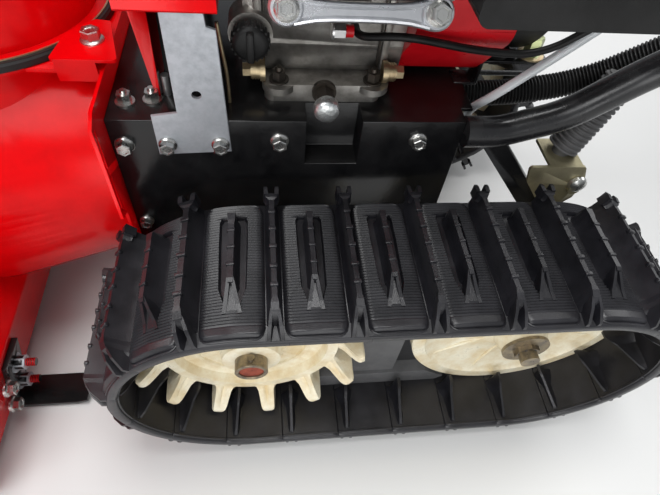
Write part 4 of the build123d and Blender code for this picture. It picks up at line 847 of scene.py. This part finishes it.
@dataclass(frozen=True)
class DriveSprocket(Wheel):
    """Moulded sprocket with grooved fingers, and the end of its axle."""

    centre_x: float = DRIVE_X
    fingers: int = 12
    first_turn: float = math.radians(-98.26)

    def finger(self, out: Vector) -> list[list[Vector]]:
        """Outline one finger: thick at the disc, thin and round at its ends, grooved towards the hub.

        Args:
            out: The direction of the finger from the hub.

        Returns:
            Its outlines from one end to the other.
        """
        across = out.cross(LEFT)
        half_stations = (
            (34.9, 4.4, 5.0, 104.0, 101.4, 0.4, 0.0),
            (34.0, 5.8, 6.2, 105.0, 99.4, 0.7, 0.1),
            (31.5, 6.7, 6.9, 105.4, 96.4, 1.2, 0.5),
            (26.0, 7.0, 7.3, 105.4, 91.6, 2.2, 2.2),
            (19.0, 7.3, 8.0, 105.4, 86.2, 3.0, 3.8),
            (15.5, 7.5, 9.6, 105.4, 82.4, 3.2, 4.2),
            (14.0, 7.5, 13.5, 105.4, 80.6, 3.2, 3.0),
        )
        stations = [(-y, *rest) for y, *rest in half_stations] + list(half_stations[::-1])
        outlines = []
        for y, tip, root, high, low, groove, depth in stations:
            knee = low + 0.38 * (high - low)
            half = [(tip - 1.2, high), (tip, high - 1.4), (tip, knee), (root, low), (groove, low)]
            outline = [*half, (0.0, low + depth), *[(-width, reach) for width, reach in reversed(half)]]
            middle = self.place() + LEFT * y
            outlines.append([middle + across * width + out * reach for width, reach in outline])
        return outlines

    def build(self) -> None:
        """Build the sprocket in place of the plain one, with the end of its axle."""
        out, ribs_at = LEFT * self.side, self.place(3)
        disc = [
            (13.2, -32), (25, -32), (27, -10), (33, -5), (68, -5), (70, -15), (82, -15), (83.5, -13),
            (83.5, 13), (82, 15), (72, 15), (69.5, 6), (58, 5), (57, 7), (53, 7), (52, 5),
            (36, 5), (31, 9), (27, 22), (25, 23), (13.2, 23),
        ]
        shapes = [(turn_profile, disc, self.place(), out, 72)]
        shapes += [(add_loft, self.finger(ray)) for ray in spokes(self.fingers, start=self.first_turn)]
        for ray in spokes(6, start=self.first_turn + math.pi / self.fingers):
            shapes.append((add_rod, ribs_at + ray * 30, ribs_at + ray * 70, 4.0, 3.0, 12))
        self.piece("moulded_sprocket", CREAM, shapes, "sprocket")
        rim = [(9.6, 22), (15.2, 22), (15.2, 34.6), (14.6, 35.2), (12, 35.2), (11.4, 34.6)]
        rim += [(11.4, 30), (9.6, 30)]
        mark = self.place(28.5)
        sleeve = [(turn_profile, rim, self.place(), out, 56)]
        sleeve += [(add_rod, mark + UP * 14.4, mark + UP * 16.0, 3.2, 2.6, 20)]
        self.piece("axle_sleeve", STAINED_STEEL, sleeve)
        self.piece("axle_bore", RUST, rods_along(self.place(), out, ((27, 33.2, 11.5, 40),)))


@dataclass(frozen=True)
class IdlerWheel(Wheel):
    """Dished idler with its raised rim, washer and axle bolt."""

    centre_x: float = DRIVE_X - WHEEL_SPACING
    radius: float = 110.1

    def build(self) -> None:
        """Build the idler in place of the plain one, with its washer and bolt."""
        out, r = LEFT * self.side, self.radius
        dish = [
            (10.2, -23), (23, -23), (26, -6), (34, -3.5), (r - 20, -3), (r - 15, -7), (r - 1, -7), (r, -6),
            (r, 6), (r - 1, 7), (r - 13, 7), (r - 17, 3.5), (60, 0.5), (36, 3), (27, 9), (23, 23), (10.2, 23),
        ]
        inner, outer = self.place(1.2), self.place(2.2)
        shapes = [(turn_profile, dish, self.place(), out, 96)]
        for ray in spokes(8, start=math.tau * 0.3 / 8):
            shapes.append((add_rod, inner + ray * 34, outer + ray * (r - 18), 2.2, 1.4, 10))
        self.piece("moulded_idler", CREAM, shapes, "idler")
        washer = ((23.2, 26.4, 23.5, 40), (26.4, 31.0, 12.5, 6))
        self.piece("idler_washer", STAINED_STEEL, rods_along(self.place(), out, washer))
        self.piece("idler_stud", STAINED_STEEL, rods_along(self.place(), out, ((31, 40, 9.4, 32),)))
        ring = [(5.2, -0.2), (5.5, 0.8), (6.3, 0.8), (6.6, -0.2)]
        self.piece("belt_mark", TREAD, [(turn_profile, ring, (202, self.side * 253, 31.5), UP, 32)])


CRANK = Vector((85.5, 0, 439))
CYLINDER_LEAN = math.radians(25)
CYLINDER_OUT = Vector((0, math.cos(CYLINDER_LEAN), math.sin(CYLINDER_LEAN)))
CYLINDER_DOWN = Vector((0, math.sin(CYLINDER_LEAN), -math.cos(CYLINDER_LEAN)))


def on_cylinder(x: float, out: float, down: float) -> Vector:
    """Return a place on the leaning cylinder.

    Args:
        x: The place along the machine, from the cylinder's middle.
        out: The distance from the crank along the cylinder.
        down: The distance below the cylinder's middle plane.

    Returns:
        The place in the machine's frame.
    """
    return CRANK + FORWARD * x + CYLINDER_OUT * out + CYLINDER_DOWN * down


@dataclass(frozen=True)
class HeadCover:
    """Cast head cover: a lid on a flange whose bolt bosses are joined by hollowed arms."""

    half_spread: float = 40.0
    low: float = 163.0
    high: float = 172.0
    rows: tuple[float, float] = (-39.0, 65.0)

    def arm(self, middle: float) -> list[list[Vector]]:
        """Outline the arm between the two bosses of one row.

        Args:
            middle: The row's place down the cylinder's face.

        Returns:
            Its outlines from one boss to the other.
        """
        high, outlines = self.high, []
        widths = [(-36, 7.6), (-31, 6.6), (-25, 5.6), (-16, 5.0)]
        widths += [(0, 4.8)] + [(-x, half) for x, half in reversed(widths)]
        for x, half in widths:
            edge = [(half, self.low), (half, high - 1.6), (half - 0.8, high)]
            edge += [(half - 2.0, high + 0.2), (half - 3.4, high - 1.4)]
            outline = [(-width, out) for width, out in edge] + edge[::-1]
            outlines.append([Vector((x, middle + width, out)) for width, out in outline])
        return outlines

    def build(self) -> None:
        """Build the cover in place of the plain one, and its big bolts."""
        bm = bmesh.new()
        add_block(bm, (-43, -33, self.low), (43, 59, self.high - 1.0), 3.0)
        add_block(bm, (-39, -28, self.high - 3), (39, 54, 194), 6.0)
        boss = [(0, 0), (9.4, 0), (9.0, 7.6), (8.0, 8.8), (0, 8.9)]
        for down in self.rows:
            add_loft(bm, self.arm(down + math.copysign(1.0, down)))
        seats = [(x, down) for x in (-self.half_spread, self.half_spread) for down in self.rows]
        for x, down in seats:
            turn_profile(bm, boss, (x, down, self.low), UP, 40)
        turn = Matrix((FORWARD, CYLINDER_DOWN, CYLINDER_OUT)).transposed().to_4x4()
        bmesh.ops.transform(bm, matrix=Matrix.Translation(CRANK) @ turn, verts=bm.verts)
        finish_piece(bm, "head_cover", Body.MACHINE, BRIGHT_CAST, ("valve_cover",), sharp=42.0)
        bolts = [(add_bolt, on_cylinder(x, self.high, down), CYLINDER_OUT, 9.6) for x, down in seats]
        Detail("head_cover_bolts", ZINC, bolts).build()


ROUNDED: dict[str, float] = {
    "chassis": 2.6,
    "side_bracket": 0.7,
    "ring_clips": 0.7,
    "belt_cover": 1.0,
    "drum_plate": 0.7,
    "impeller_drum": 0.6,
    "auger_housing": 0.8,
    "scraper_bar": 1.0,
    "skids": 1.2,
    "rear_legs": 2.0,
    "lock_bracket": 0.6,
    "crankcase": 2.4,
    "fan_cover": 3.0,
    "air_box": 4.0,
    "fuel_tank": 5.0,
    "muffler": 3.0,
    "recoil_starter": 2.0,
    "control_panel": 3.0,
    "headlight": 2.0,
    "clutch_levers": 1.5,
    "auger_gearbox": 3.0,
    "track_frame_left": 1.0,
    "track_frame_right": 1.0,
    "auger": 0.6,
    "chute": 0.6,
    "deflector": 0.6,
}


CORNER_ANGLE = math.radians(34)
SHORTEST_EDGE = 3.0
NEARLY_FLAT = 0.01
FLAT_FACES = math.radians(0.4)


def is_curved(face: bmesh.types.BMFace, rounded: set[bmesh.types.BMFace]) -> bool:
    """Return whether a face is a rounding, or bends gently into a neighbour that isn't one."""
    plain = [edge for edge in face.edges if not rounded.intersection(edge.link_faces)]
    inner = [edge for edge in plain if len(edge.link_faces) == 2]
    return face in rounded or any(NEARLY_FLAT < edge.calc_face_angle() < CORNER_ANGLE for edge in inner)


def round_node(source: bpy.types.Object, name: str, body: Body, finish: Finish) -> None:
    """Stand a copy whose sharp edges are rounded, so that they catch the light, in place of a node.

    Args:
        source: The node's object.
        name: The node's name.
        body: The body that it rides on.
        finish: The node's finish.
    """
    bm = bmesh.new()
    bm.from_mesh(source.data)
    bmesh.ops.transform(bm, matrix=Matrix.Scale(1 / MM, 4) @ source.matrix_world, verts=bm.verts)
    bmesh.ops.remove_doubles(bm, verts=bm.verts, dist=SAME_PLACE / 2)
    bmesh.ops.dissolve_limit(bm, angle_limit=FLAT_FACES, verts=bm.verts, edges=bm.edges)
    inner = [edge for edge in bm.edges if len(edge.link_faces) == 2]
    sharp = [edge for edge in inner if edge.calc_face_angle() > CORNER_ANGLE]
    sharp = [edge for edge in sharp if edge.calc_length() > SHORTEST_EDGE]
    rounded = set(round_edges(bm, sharp, ROUNDED[name], 3))
    for face in bm.faces:
        face.smooth = is_curved(face, rounded)
    finish_piece(bm, f"{name}_rounded", body, finish, [name], closed=False, keep_flat=True)


def heads(add: Any, across: float, out: Place, seats: Iterable[Place], mirrored: bool = True) -> list[tuple]:
    """Return the shapes of a set of like fasteners.

    Args:
        add: The function that adds one.
        across: The width across the flats or the head.
        out: Which way the heads stand out.
        seats: Where they sit on the machine's left side.
        mirrored: Whether the right side has them too.

    Returns:
        The shapes.
    """
    shapes = []
    for side in (1, -1) if mirrored else (1,):
        shapes += [(add, (x, side * y, z), (out[0], side * out[1], out[2]), across) for x, y, z in seats]
    return shapes


def tube(
    points: Iterable[Place],
    radii: Sequence[float],
    segments: int,
    step: float,
    bends: Sequence[float] | None = None,
    side: int = 1,
) -> list[tuple]:
    """Return the shape of a tube, cable or hose along a bent route.

    Args:
        points: The corners of the route on the machine's left side.
        radii: Its radii from place to place.
        segments: The number of sides.
        step: The distance between two places.
        bends: The radius of each bend, if they are set.
        side: 1 for the left side, -1 for the right.

    Returns:
        The shape, in a list.
    """
    return [(add_sweep, bent_route([(x, side * y, z) for x, y, z in points], bends, step), radii, segments)]


def straight_line(start: Place, end: Place, step: float) -> list[Vector]:
    """Return the places on a straight line, about a step apart."""
    start, end = Vector(start), Vector(end)
    count = round((end - start).length / step)
    return [start.lerp(end, index / count) for index in range(count + 1)]


# Bolts, nuts and screws
FASTENERS: tuple[Detail, ...] = (
    Detail(
        "chassis_side_bolts", ZINC,
        heads(add_bolt, 10.5, LEFT, ((245, 123, 310), (126, 123, 314), (13, 123, 315))),
    ),
    Detail("chassis_low_bolts", ZINC, heads(add_bolt, 9.0, LEFT, ((246, 123, 219.7), (60, 123, 224)))),
    Detail("bracket_bolts", ZINC, heads(add_bolt, 10.0, LEFT, ((212, 126, 312.6), (172, 126, 312.6)), False)),
    Detail("top_plate_nuts", ZINC, heads(add_nut, 9.4, UP, ((242.5, 101.5, 333), (222.5, 98, 333)))),
    Detail("crankcase_nuts", DARK_STEEL, heads(add_nut, 9.6, UP, ((125.6, 91, 347.9), (51.2, 91, 347.9)))),
    Detail("ring_clip_bolts", ZINC, heads(add_bolt, 12.5, UP, ((264.6, 66, 362.2),))),
    Detail(
        "auger_bearing_bolts", ZINC,
        heads(add_bolt, 10.0, LEFT, ((585, 310, 204), (605.8, 310, 168), (564.2, 310, 168))),
    ),
    Detail("skid_nuts", SATIN_ZINC, heads(add_nut, 13.0, -FORWARD, ((405.9, 190.5, 38), (395.2, 190.5, 79)))),
    Detail("skid_heads", ZINC, heads(add_bolt, 12.0, -FORWARD, ((405.9, 218, 38), (395.2, 218, 79)))),
    Detail(
        "housing_bolts", ZINC,
        heads(add_bolt, 10.0, LEFT, ((735, 300, 100), (735, 300, 210), (470, 300, 60), (480, 300, 300))),
    ),
    Detail("leg_bolts", ZINC, heads(add_bolt, 10.5, LEFT, ((-128, 123, 214),))),
    Detail(
        "fan_cover_screws", ZINC,
        heads(add_screw, 10.0, -FORWARD, ((-45, 88, 400), (-45, 92, 470), (-45, 40, 540))),
    ),
    Detail("console_screws", ZINC, heads(add_screw, 9.0, UP, ((-585, 160, 924.8), (-585, 100, 924.8)))),
    Detail("hood_screws", ZINC, heads(add_screw, 9.0, FORWARD, ((226.8, 110, 440), (226.8, 110, 540)))),
    Detail("muffler_screws", ZINC, heads(add_screw, 8.0, UP, ((60, 145, 640), (130, 145, 640)), False)),
)

# Tubes, cables and hoses
HANDLE_POINTS = (
    (-24, 123, 324), (-54, 123, 324), (-104, 123, 341), (-154, 123, 382), (-300, 205, 573), (-545, 205, 900),
    (-745, 205, 900),
)
HANDLE_BENDS = (60, 90, 90, 90, 90)
CONDUIT_POINTS = (
    (-24, 58, 315), (-84, 58, 315), (-149, 62, 331), (-196, 78, 376), (-234, 112, 440), (-282, 160, 528),
    (-354, 179, 612), (-470, 179, 739), (-470, 179, 819),
)
CABLE_POINTS = (
    (70, 83, 391), (70, 101, 391), (37, 111, 398), (-21, 111, 388), (-67, 111, 386), (-107, 113, 418),
    (-129, 124, 448), (-129, 140, 484), (-107, 140, 484),
)
HOSE_POINTS = (
    (-24, 84, 300), (-39, 84, 300), (-39.5, 90, 323), (-43, 109, 347), (-75, 110, 379), (-117, 110, 421),
    (-136, 108, 462), (-138, 96, 530), (-94, 50, 600), (-35, 50, 600),
)
ROD_POINTS = ((-24, 8, 303), (-80, 8, 303), (-137, 8, 303))
CONDUIT_RADII = (11.4, 11.5, 10.9, 9.9, 10.6)
HANDLES = tuple(
    Detail(
        f"handle_tube_{name}",
        TUBE_BLACK,
        tube(HANDLE_POINTS, (12.7,), 40, 5.0, HANDLE_BENDS, side),
        (f"handle_{name}",),
        sharp=60.0,
    )
    for side, name in SIDES.items()
)
CABLES = (
    Detail(
        "corrugated_conduit", BLACK_PLASTIC,
        tube(CONDUIT_POINTS, CONDUIT_RADII, 22, 0.62),
        ("cable_conduit",),
        sharp=60.0,
    ),
    Detail("thin_cable", BLACK_PLASTIC, tube(CABLE_POINTS, (2.9,), 16, 3.0), sharp=60.0),
    Detail("clear_hose", CLEAR_HOSE, tube(HOSE_POINTS, (3.6,), 20, 3.0), ("fuel_hose",), sharp=60.0),
    Detail("control_rod", TUBE_BLACK, tube(ROD_POINTS, (2.6,), 16, 5.0), sharp=60.0),
)

# Fittings on the crankcase's left side
PLUG = Vector((146, 93, 386))
PLUG_PROFILE = ((0, 0), (9, 0), (9, 3), (12.6, 4), (13.4, 6), (13.4, 12), (12, 14.5), (9.5, 15.6), (0, 15.6))
DRAIN = Vector((90.5, 98, 343))
DRAIN_CAP = ((0, 18.8), (9.4, 18.8), (9.8, 20), (9.8, 25.6), (8.8, 27.4), (6, 28.6), (0, 29))
STEPPED_PLUG = (
    (0, 4, 8.6, 32), (4, 11, 6.8, 24), *((low, low + 1, 7.4, 24) for low in (5, 7, 9)), (11, 17, 5.4, 6),
)
# Outline of a thin dark sheet on the crankcase wall that paints the shade inside a casting pocket.
POCKET_SHADE_OUTLINE = ((134, 412), (134, 392), (126, 391), (115, 412))
CABLE_SCREW = Vector((87, 97, 393))
FITTINGS = (
    Detail("filler_plug", BLACK_PLASTIC, (
        (turn_profile, PLUG_PROFILE, PLUG, LEFT, 40),
        *(rods_along(PLUG + ray * 13.1, LEFT, ((5, 13, 1.0, 8),))[0] for ray in spokes(20)),
        (add_block, PLUG + Vector((-2.6, 14.6, -11)), PLUG + Vector((2.6, 20.5, 11)), 1.4),
    ), ("oil_fittings",)),
    Detail("drain_pipe", DARK_STEEL, rods_along(DRAIN, LEFT, ((-1, 19, 7.6, 6), (-1, 3, 9.6, 32)))),
    Detail("drain_cap", ROUGH_CAST, ((turn_profile, DRAIN_CAP, DRAIN, LEFT, 36),)),
    Detail(
        "stepped_plugs", BRASS,
        rods_along((136, 90, 356), FORWARD, STEPPED_PLUG) + rods_along((45, 90, 356), -FORWARD, STEPPED_PLUG),
    ),
    Detail("case_gaskets", DARK_STEEL, (
        (add_block, (136, 40, 349), (137.2, 86.5, 440), 0.3),
        (add_block, (48, 83.2, 356), (49.4, 85.4, 436), 0.3),
    )),
    Detail("case_ribs", CAST, (
        (add_block, (137.3, 40, 349), (144, 88, 442), 2.5),
        (add_block, (40.5, 60, 352), (47, 86, 436), 2.5),
        *((add_rod, (x, 91, 342), (x, 91, 347.6), 13, None, 36) for x in (125.6, 51.2)),
        *((add_rod, (x, 60, 434), (x, 83, 426), 5.5, 7.0) for x in (72, 110)),
        (add_block, (60, 82.5, 406), (116, 85.6, 409), 1.2),
    )),
    # A thin dark sheet, not a recess: painted shade of the casting pocket.
    Detail(
        "casting_pocket_shade", DARK_STEEL,
        ((add_loft, [[Vector((x, y, z)) for x, z in POCKET_SHADE_OUTLINE] for y in (83.2, 83.7)]),),
    ),
    Detail(
        "cable_screw", MACHINED,
        rods_along(CABLE_SCREW, -FORWARD, ((0, 8, 5.6, 6), (-1.5, 0, 6.2, 24)))
        + [(add_block, (76, 84, 390), (84, 96, 396), 1.0)],
    ),
    Detail("cable_seal", RED_PLASTIC, rods_along(CABLE_SCREW, -FORWARD, ((8.4, 14, 4.4, 20),))),
)

# The two belts behind the belt cover, with their pulley
BELT_FRONT_X = 208
BELT_GAP = 13
PULLEY_CENTRE = (BELT_FRONT_X - 6, 0, 439)
PULLEY_PROFILE = (
    (13, -20), (58, -20), (62, -18), (52, -13), (62, -7), (62, -6), (52, 0), (62, 6), (58, 8), (22, 8),
    (22, 14), (13, 14),
)
BELT_DRIVE = (
    Detail("drive_belts", SOFT_RUBBER, [
        (add_rod, (x, side * (84 + shift), 333.6), (x, side * (63 + shift), 452), radius, None, 6)
        for x in (BELT_FRONT_X, BELT_FRONT_X - BELT_GAP)
        for side in SIDES
        for shift, radius in ((0.0, 5.2), (2.4, 4.4))
    ]),
    Detail("engine_pulley", GEAR_IRON, ((turn_profile, PULLEY_PROFILE, PULLEY_CENTRE, FORWARD, 64),)),
    Detail(
        "belt_fingers", MACHINED,
        [(add_rod, (x, y, 333), (x, y, z), 3.2, None, 16) for x, y, z in ((219, 88, 352), (212, 90, 350))],
    ),
    Detail(
        "belt_guide_wire", BRASS,
        tube(((164, 100, 333), (164, 103, 360), (166, 105, 380), (168, 106, 402)), (1.3,), 10, 3.0),
    ),
)

# Seal of the chute's turning ring, and a thin brass ring on its edge that paints the gold glint there:
# painted highlight
RING_CENTRE = (365, 0, 352)
SEAL_PROFILE = ((99.6, 7.4), (103.6, 7.4), (105.2, 5.4), (105.2, 1.0), (104.0, 0.1), (99.6, 0.1))
GLINT_RING_PROFILE = ((99.9, 7.5), (101.4, 7.5), (101.4, 8.3), (99.9, 8.3))
RING_SEAL = (
    Detail("ring_seal", SOFT_RUBBER, ((turn_profile, SEAL_PROFILE, RING_CENTRE, UP, 120),)),
    # Thin brass ring on the seal's edge: painted highlight for the glint there.
    Detail("ring_glint", BRASS, ((turn_profile, GLINT_RING_PROFILE, RING_CENTRE, UP, 120),)),
)

# The height lock's boot and pin, and the fittings behind the engine
LOCK_PIN = ((0, 0), (8.5, 0), (9.0, 1), (8.2, 4), (5.0, 6), (0, 6.6))
CAPPED_BOLT = ((0, 0), (9.4, 0), (9.4, 2), (7.2, 2.6), (7.2, 15), (6.2, 17.4), (0, 18))
MOUNT = ((0, 0), (9, 0), (10, 2), (10, 6), (8, 8), (4, 8), (4, 5), (0, 5))
LINKAGE = (
    Detail("lock_bellows", GREY_RUBBER, (
        (add_sweep, straight_line((-134, 104, 292), (-157, 98, 360), 1.15), (14.8, 14.6, 12.8, 12.7), 32),
        (add_rod, (-134, 104, 285.8), (-134, 104, 293), 8.0),
    ), ("lock_boot",)),
    Detail("lock_pin", ZINC, ((turn_profile, LOCK_PIN, (-150.7, 126.2, 266), LEFT, 32),)),
    Detail("cable_bracket", TUBE_BLACK, (
        (add_block, (-104, 50, 352), (-44, 70, 355), 1.0),
        (add_block, (-47, 50, 333), (-44, 70, 355), 1.0),
        (add_block, (-47, 50, 331), (-26, 70, 334), 1.0),
    )),
    Detail("capped_bolt", GREEN_ZINC, ((turn_profile, CAPPED_BOLT, (-90, 60, 355), UP, 6),)),
    Detail(
        "capped_bolt_washer", BRASS,
        ((turn_profile, ((8.0, -0.5), (11.5, 0), (11.5, 1.4), (8.0, 2.0)), (-90, 60, 355.2), UP, 32),),
    ),
    Detail("rubber_mount", SOFT_RUBBER, ((turn_profile, MOUNT, (-60, 60, 355), UP, 32),)),
)

# The engine's other sides: recoil, tank, muffler and spark plug
RECOIL = Vector((-83.6, 0, 439))
TANK = Vector((45, -40, 0))
TANK_CAP = ((0, 671.5), (31, 671.5), (32, 674), (32, 690), (28, 694), (0, 695))
SPARK_PLUG = on_cylinder(0, 186, -30)
ELBOW = SPARK_PLUG + CYLINDER_OUT * 16
ENGINE_TOP = (
    # Dark rubber bars where the recoil cover has slots: painted shade for the openings.
    Detail(
        "recoil_slot_shade", SOFT_RUBBER,
        [(add_rod, RECOIL + ray * 83, RECOIL + ray * 93, 2.0, None, 10) for ray in spokes(18, LEFT, UP)],
    ),
    Detail(
        "recoil_boss", RED_PLASTIC,
        ((turn_profile, ((0, 0), (26, 0), (24, 5), (16, 7), (0, 7.5)), (-99, 0, 439), -FORWARD, 48),),
    ),
    Detail("pull_handle", SOFT_RUBBER, (
        (add_rod, (-70, -116, 489), (-70, -124, 492), 11, 12, 20),
        *((add_rod, (-70, -128, 494), (-70 + reach, -128, 494), 9.5, 7.5, 20) for reach in (-24, 24)),
    )),
    Detail("tank_cap", BLACK_PLASTIC, (
        (turn_profile, TANK_CAP, TANK, UP, 48),
        *(rods_along(TANK + ray * 31.6, UP, ((675, 690, 2.2, 8),))[0] for ray in spokes(16, FORWARD, LEFT)),
    )),
    # Dark rubber bars where the muffler shield has slots: painted shade for the openings.
    Detail(
        "shield_slot_shade", SOFT_RUBBER,
        [(add_rod, (x, 112, 640.2), (x, 172, 640.2), 2.6, None, 12) for x in range(52, 142, 15)],
    ),
    Detail(
        "exhaust_outlet", DARK_STEEL,
        ((turn_profile, ((8, 0), (13, 0), (13, 12), (11, 13), (8, 12)), (60, 192.6, 615), LEFT, 32),),
    ),
    Detail("spark_plug_cap", SOFT_RUBBER, (
        (add_rod, SPARK_PLUG, SPARK_PLUG + CYLINDER_OUT * 22, 9.0, 8.0),
        (add_rod, ELBOW, ELBOW + FORWARD * 26, 7.0, 6.0),
    )),
)

# The console, the lamp and the grips
LAMP = (-369.5, 0, 793.9)
LAMP_AHEAD = (48, 0, -12)
RIM_PROFILE = ((34, 0), (42.5, 0), (43.5, 2), (42.5, 5), (38, 5.5), (36, 2))
LENS_PROFILE = ((0, 0.2), (36, 0.2), (35, 2.4), (22, 4.4), (0, 5.4))
KNOB_PROFILE = ((0, 0), (7, 0), (12, 5), (14.5, 14), (14, 24), (9, 32), (0, 34))
GRIP_PROFILE = (
    (12.9, -744.4), (16.6, -744.4), (18.6, -742.5), (18.6, -739.5), (16.8, -737.5),
    *(
        (radius, x + shift)
        for x in range(-734, -626, 6)
        for radius, shift in ((16.8, 0), (17.7, 1.5), (17.7, 3.0), (16.8, 4.5))
    ),
    (16.8, -624), (19.0, -622), (19.0, -620.6), (12.9, -620.6),
)
CONTROLS = (
    Detail("lamp_rim", BLACK_PLASTIC, ((turn_profile, RIM_PROFILE, LAMP, LAMP_AHEAD, 56),)),
    Detail("lamp_lens_dome", LENS, ((turn_profile, LENS_PROFILE, LAMP, LAMP_AHEAD, 48),)),
    # Thin dark plates on the console top, not openings: painted shade for the lever slots.
    Detail("console_slot_shade", SOFT_RUBBER, (
        *((add_block, (-597, y - 5, 924.6), (-573, y + 5, 925.4)) for y in (-60, 60)),
        (add_block, (-600, -30, 924.6), (-572, 30, 925.4)),
    )),
    Detail(
        "lever_knobs", SOFT_RUBBER,
        [(turn_profile, KNOB_PROFILE, (-585, y, 982), (-0.25, 0, 1), 28) for y in (-60, 60)],
    ),
    Detail(
        "ribbed_grips", SOFT_RUBBER,
        [(turn_profile, GRIP_PROFILE, (0, side * 205, 900), FORWARD, 40) for side in SIDES],
        ("hand_grips",),
    ),
)

# The skid nuts' painted thread ends, and the worm gearbox's plug
THREAD = tuple((1.6 * ring, 1.6 * ring + 1.1) for ring in range(7))
HOUSING = (
    Detail("painted_threads", GLOSS_RED, [
        (add_rod, (x + low, side * 190.5, z), (x + high, side * 190.5, z), 4.3, 3.9, 18)
        for side in SIDES
        for x, z in ((386, 38), (375.2, 79))
        for low, high in THREAD
    ]),
    Detail("gearbox_plug", ZINC, ((turn_profile, ((0, 0), (9, 0), (9, 5), (0, 5)), (585, 0, 249.8), UP, 6),)),
)


LAMPS = (
    ("key", (1.2, 1.6, 2.6), 1.9, 56.0),
    ("fill", (-2.2, -1.4, 2.4), 2.2, 44.0),
    ("front", (2.6, -1.2, 1.8), 1.6, 34.0),
    ("low", (0.1, 1.9, 0.30), 0.9, 9.0),
    ("top", (0.1, 0.1, 2.7), 1.1, 44.0),
)


@dataclass(frozen=True)
class Studio:
    """Plain floor, soft lamps and the camera. Its places are in metres."""

    eye: Place = (0.1384, 0.4334, 0.5831)
    ahead: Place = (-0.12524, -0.59683, -0.79253)
    up: Place = (-0.02466, -0.79670, 0.60387)
    lens: float = 27.42
    lamps_aim: Place = (0.1, 0.0, 0.3)
    floor_reach: float = 20.0

    def hang(self, name: str, data: bpy.types.ID, place: Matrix) -> bpy.types.Object:
        """Put a lamp, a camera or a mesh into the scene.

        Args:
            name: The object's name.
            data: What it carries.
            place: Where it stands and how it is turned.

        Returns:
            The object.
        """
        holder = bpy.data.objects.new(name, data)
        holder.matrix_world = place
        bpy.context.scene.collection.objects.link(holder)
        return holder

    def floor(self) -> None:
        """Lay the pale floor."""
        bm = bmesh.new()
        bmesh.ops.create_grid(bm, x_segments=1, y_segments=1, size=self.floor_reach)
        mesh = bpy.data.meshes.new("floor")
        bm.to_mesh(mesh)
        bm.free()
        material = bpy.data.materials.new("floor_paint")
        material.use_nodes = True
        shader = material.node_tree.nodes["Principled BSDF"]
        shader.inputs["Base Color"].default_value = (0.60, 0.60, 0.59, 1.0)
        shader.inputs["Roughness"].default_value = 0.85
        mesh.materials.append(material)
        self.hang("floor", mesh, Matrix())

    def lamps(self) -> None:
        """Hang the soft lamps and light the world evenly."""
        for name, place, size, power in LAMPS:
            lamp = bpy.data.lights.new(name, "AREA")
            lamp.size = size
            lamp.energy = power
            self.hang(name, lamp, aim(place, Vector(place) - Vector(self.lamps_aim)))
        world = bpy.data.worlds.new("room")
        world.use_nodes = True
        back = world.node_tree.nodes["Background"]
        back.inputs["Color"].default_value = (0.92, 0.95, 1.0, 1.0)
        back.inputs["Strength"].default_value = 0.42
        bpy.context.scene.world = world

    def camera(self) -> None:
        """Set the camera at the photograph's viewpoint."""
        data = bpy.data.cameras.new("camera")
        data.lens = self.lens
        data.sensor_width = 36.0
        data.clip_start = 0.01
        back = -Vector(self.ahead).normalized()
        up = (Vector(self.up) - back * Vector(self.up).dot(back)).normalized()
        turn = Matrix((up.cross(back), up, back)).transposed().to_4x4()
        bpy.context.scene.camera = self.hang("camera", data, Matrix.Translation(Vector(self.eye)) @ turn)

    def build(self) -> None:
        """Set up the room."""
        self.camera()
        self.floor()
        self.lamps()
        bpy.context.scene.view_settings.view_transform = "Standard"


SLOT_FINISH: dict[str, Finish] = {
    "red_paint": GLOSS_RED,
    "black_paint": GLOSS_BLACK,
    "grey_paint": GREY_PAINT,
    "rubber": SOFT_RUBBER,
    "cream_plastic": CREAM,
    "black_plastic": BLACK_PLASTIC,
    "red_plastic": RED_PLASTIC,
    "zinc_steel": ZINC,
    "olive_zinc": OLIVE_ZINC,
    "cast_aluminium": CAST,
    "gear_iron": GEAR_IRON,
    "lamp": LENS,
    "hose_plastic": CLEAR_HOSE,
}
NODE_FINISH: dict[str, Finish] = {
    "chassis": GLOSS_BLACK,
    "drive_axle": STAINED_STEEL,
    "track_frame_left": GREY_PAINT,
    "track_frame_right": GREY_PAINT,
    "side_bracket": SATIN_ZINC,
    "handle_left": TUBE_BLACK,
    "handle_right": TUBE_BLACK,
    "oil_fittings": DARK_STEEL,
    "chute_ring": SOFT_RUBBER,
}
DETAILS: tuple[Detail, ...] = (
    *FASTENERS, *HANDLES, *CABLES, *FITTINGS, *BELT_DRIVE,
    *RING_SEAL, *LINKAGE, *ENGINE_TOP, *CONTROLS, *HOUSING,
)


def dress_nodes(frame: dict) -> None:
    """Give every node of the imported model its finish.
    """
    slots = {part["node"]: part["material_slot"] for part in frame["record"]["subparts"]}
    groups = frame["record"]["behaviour"]["bodies"].items()
    bodies = {name: Body(group) for group, names in groups for name in names}
    for name, node in frame["nodes"].items():
        finish = NODE_FINISH.get(name, SLOT_FINISH[slots[name]])
        node.data.materials.clear()
        node.data.materials.append(finish.material())
        if name in ROUNDED:
            round_node(node, name, bodies[name], finish)


def main() -> None:
    """Load the frame, dress it and set up the room."""
    logging.basicConfig(level=logging.INFO, format="%(message)s")
    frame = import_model()
    Studio().build()
    dress_nodes(frame)
    for side in SIDES:
        for part in (RubberTrack(side), DriveSprocket(side), IdlerWheel(side)):
            part.build()
    for detail in DETAILS:
        detail.build()
    HeadCover().build()


if __name__ == "__main__":
    main()
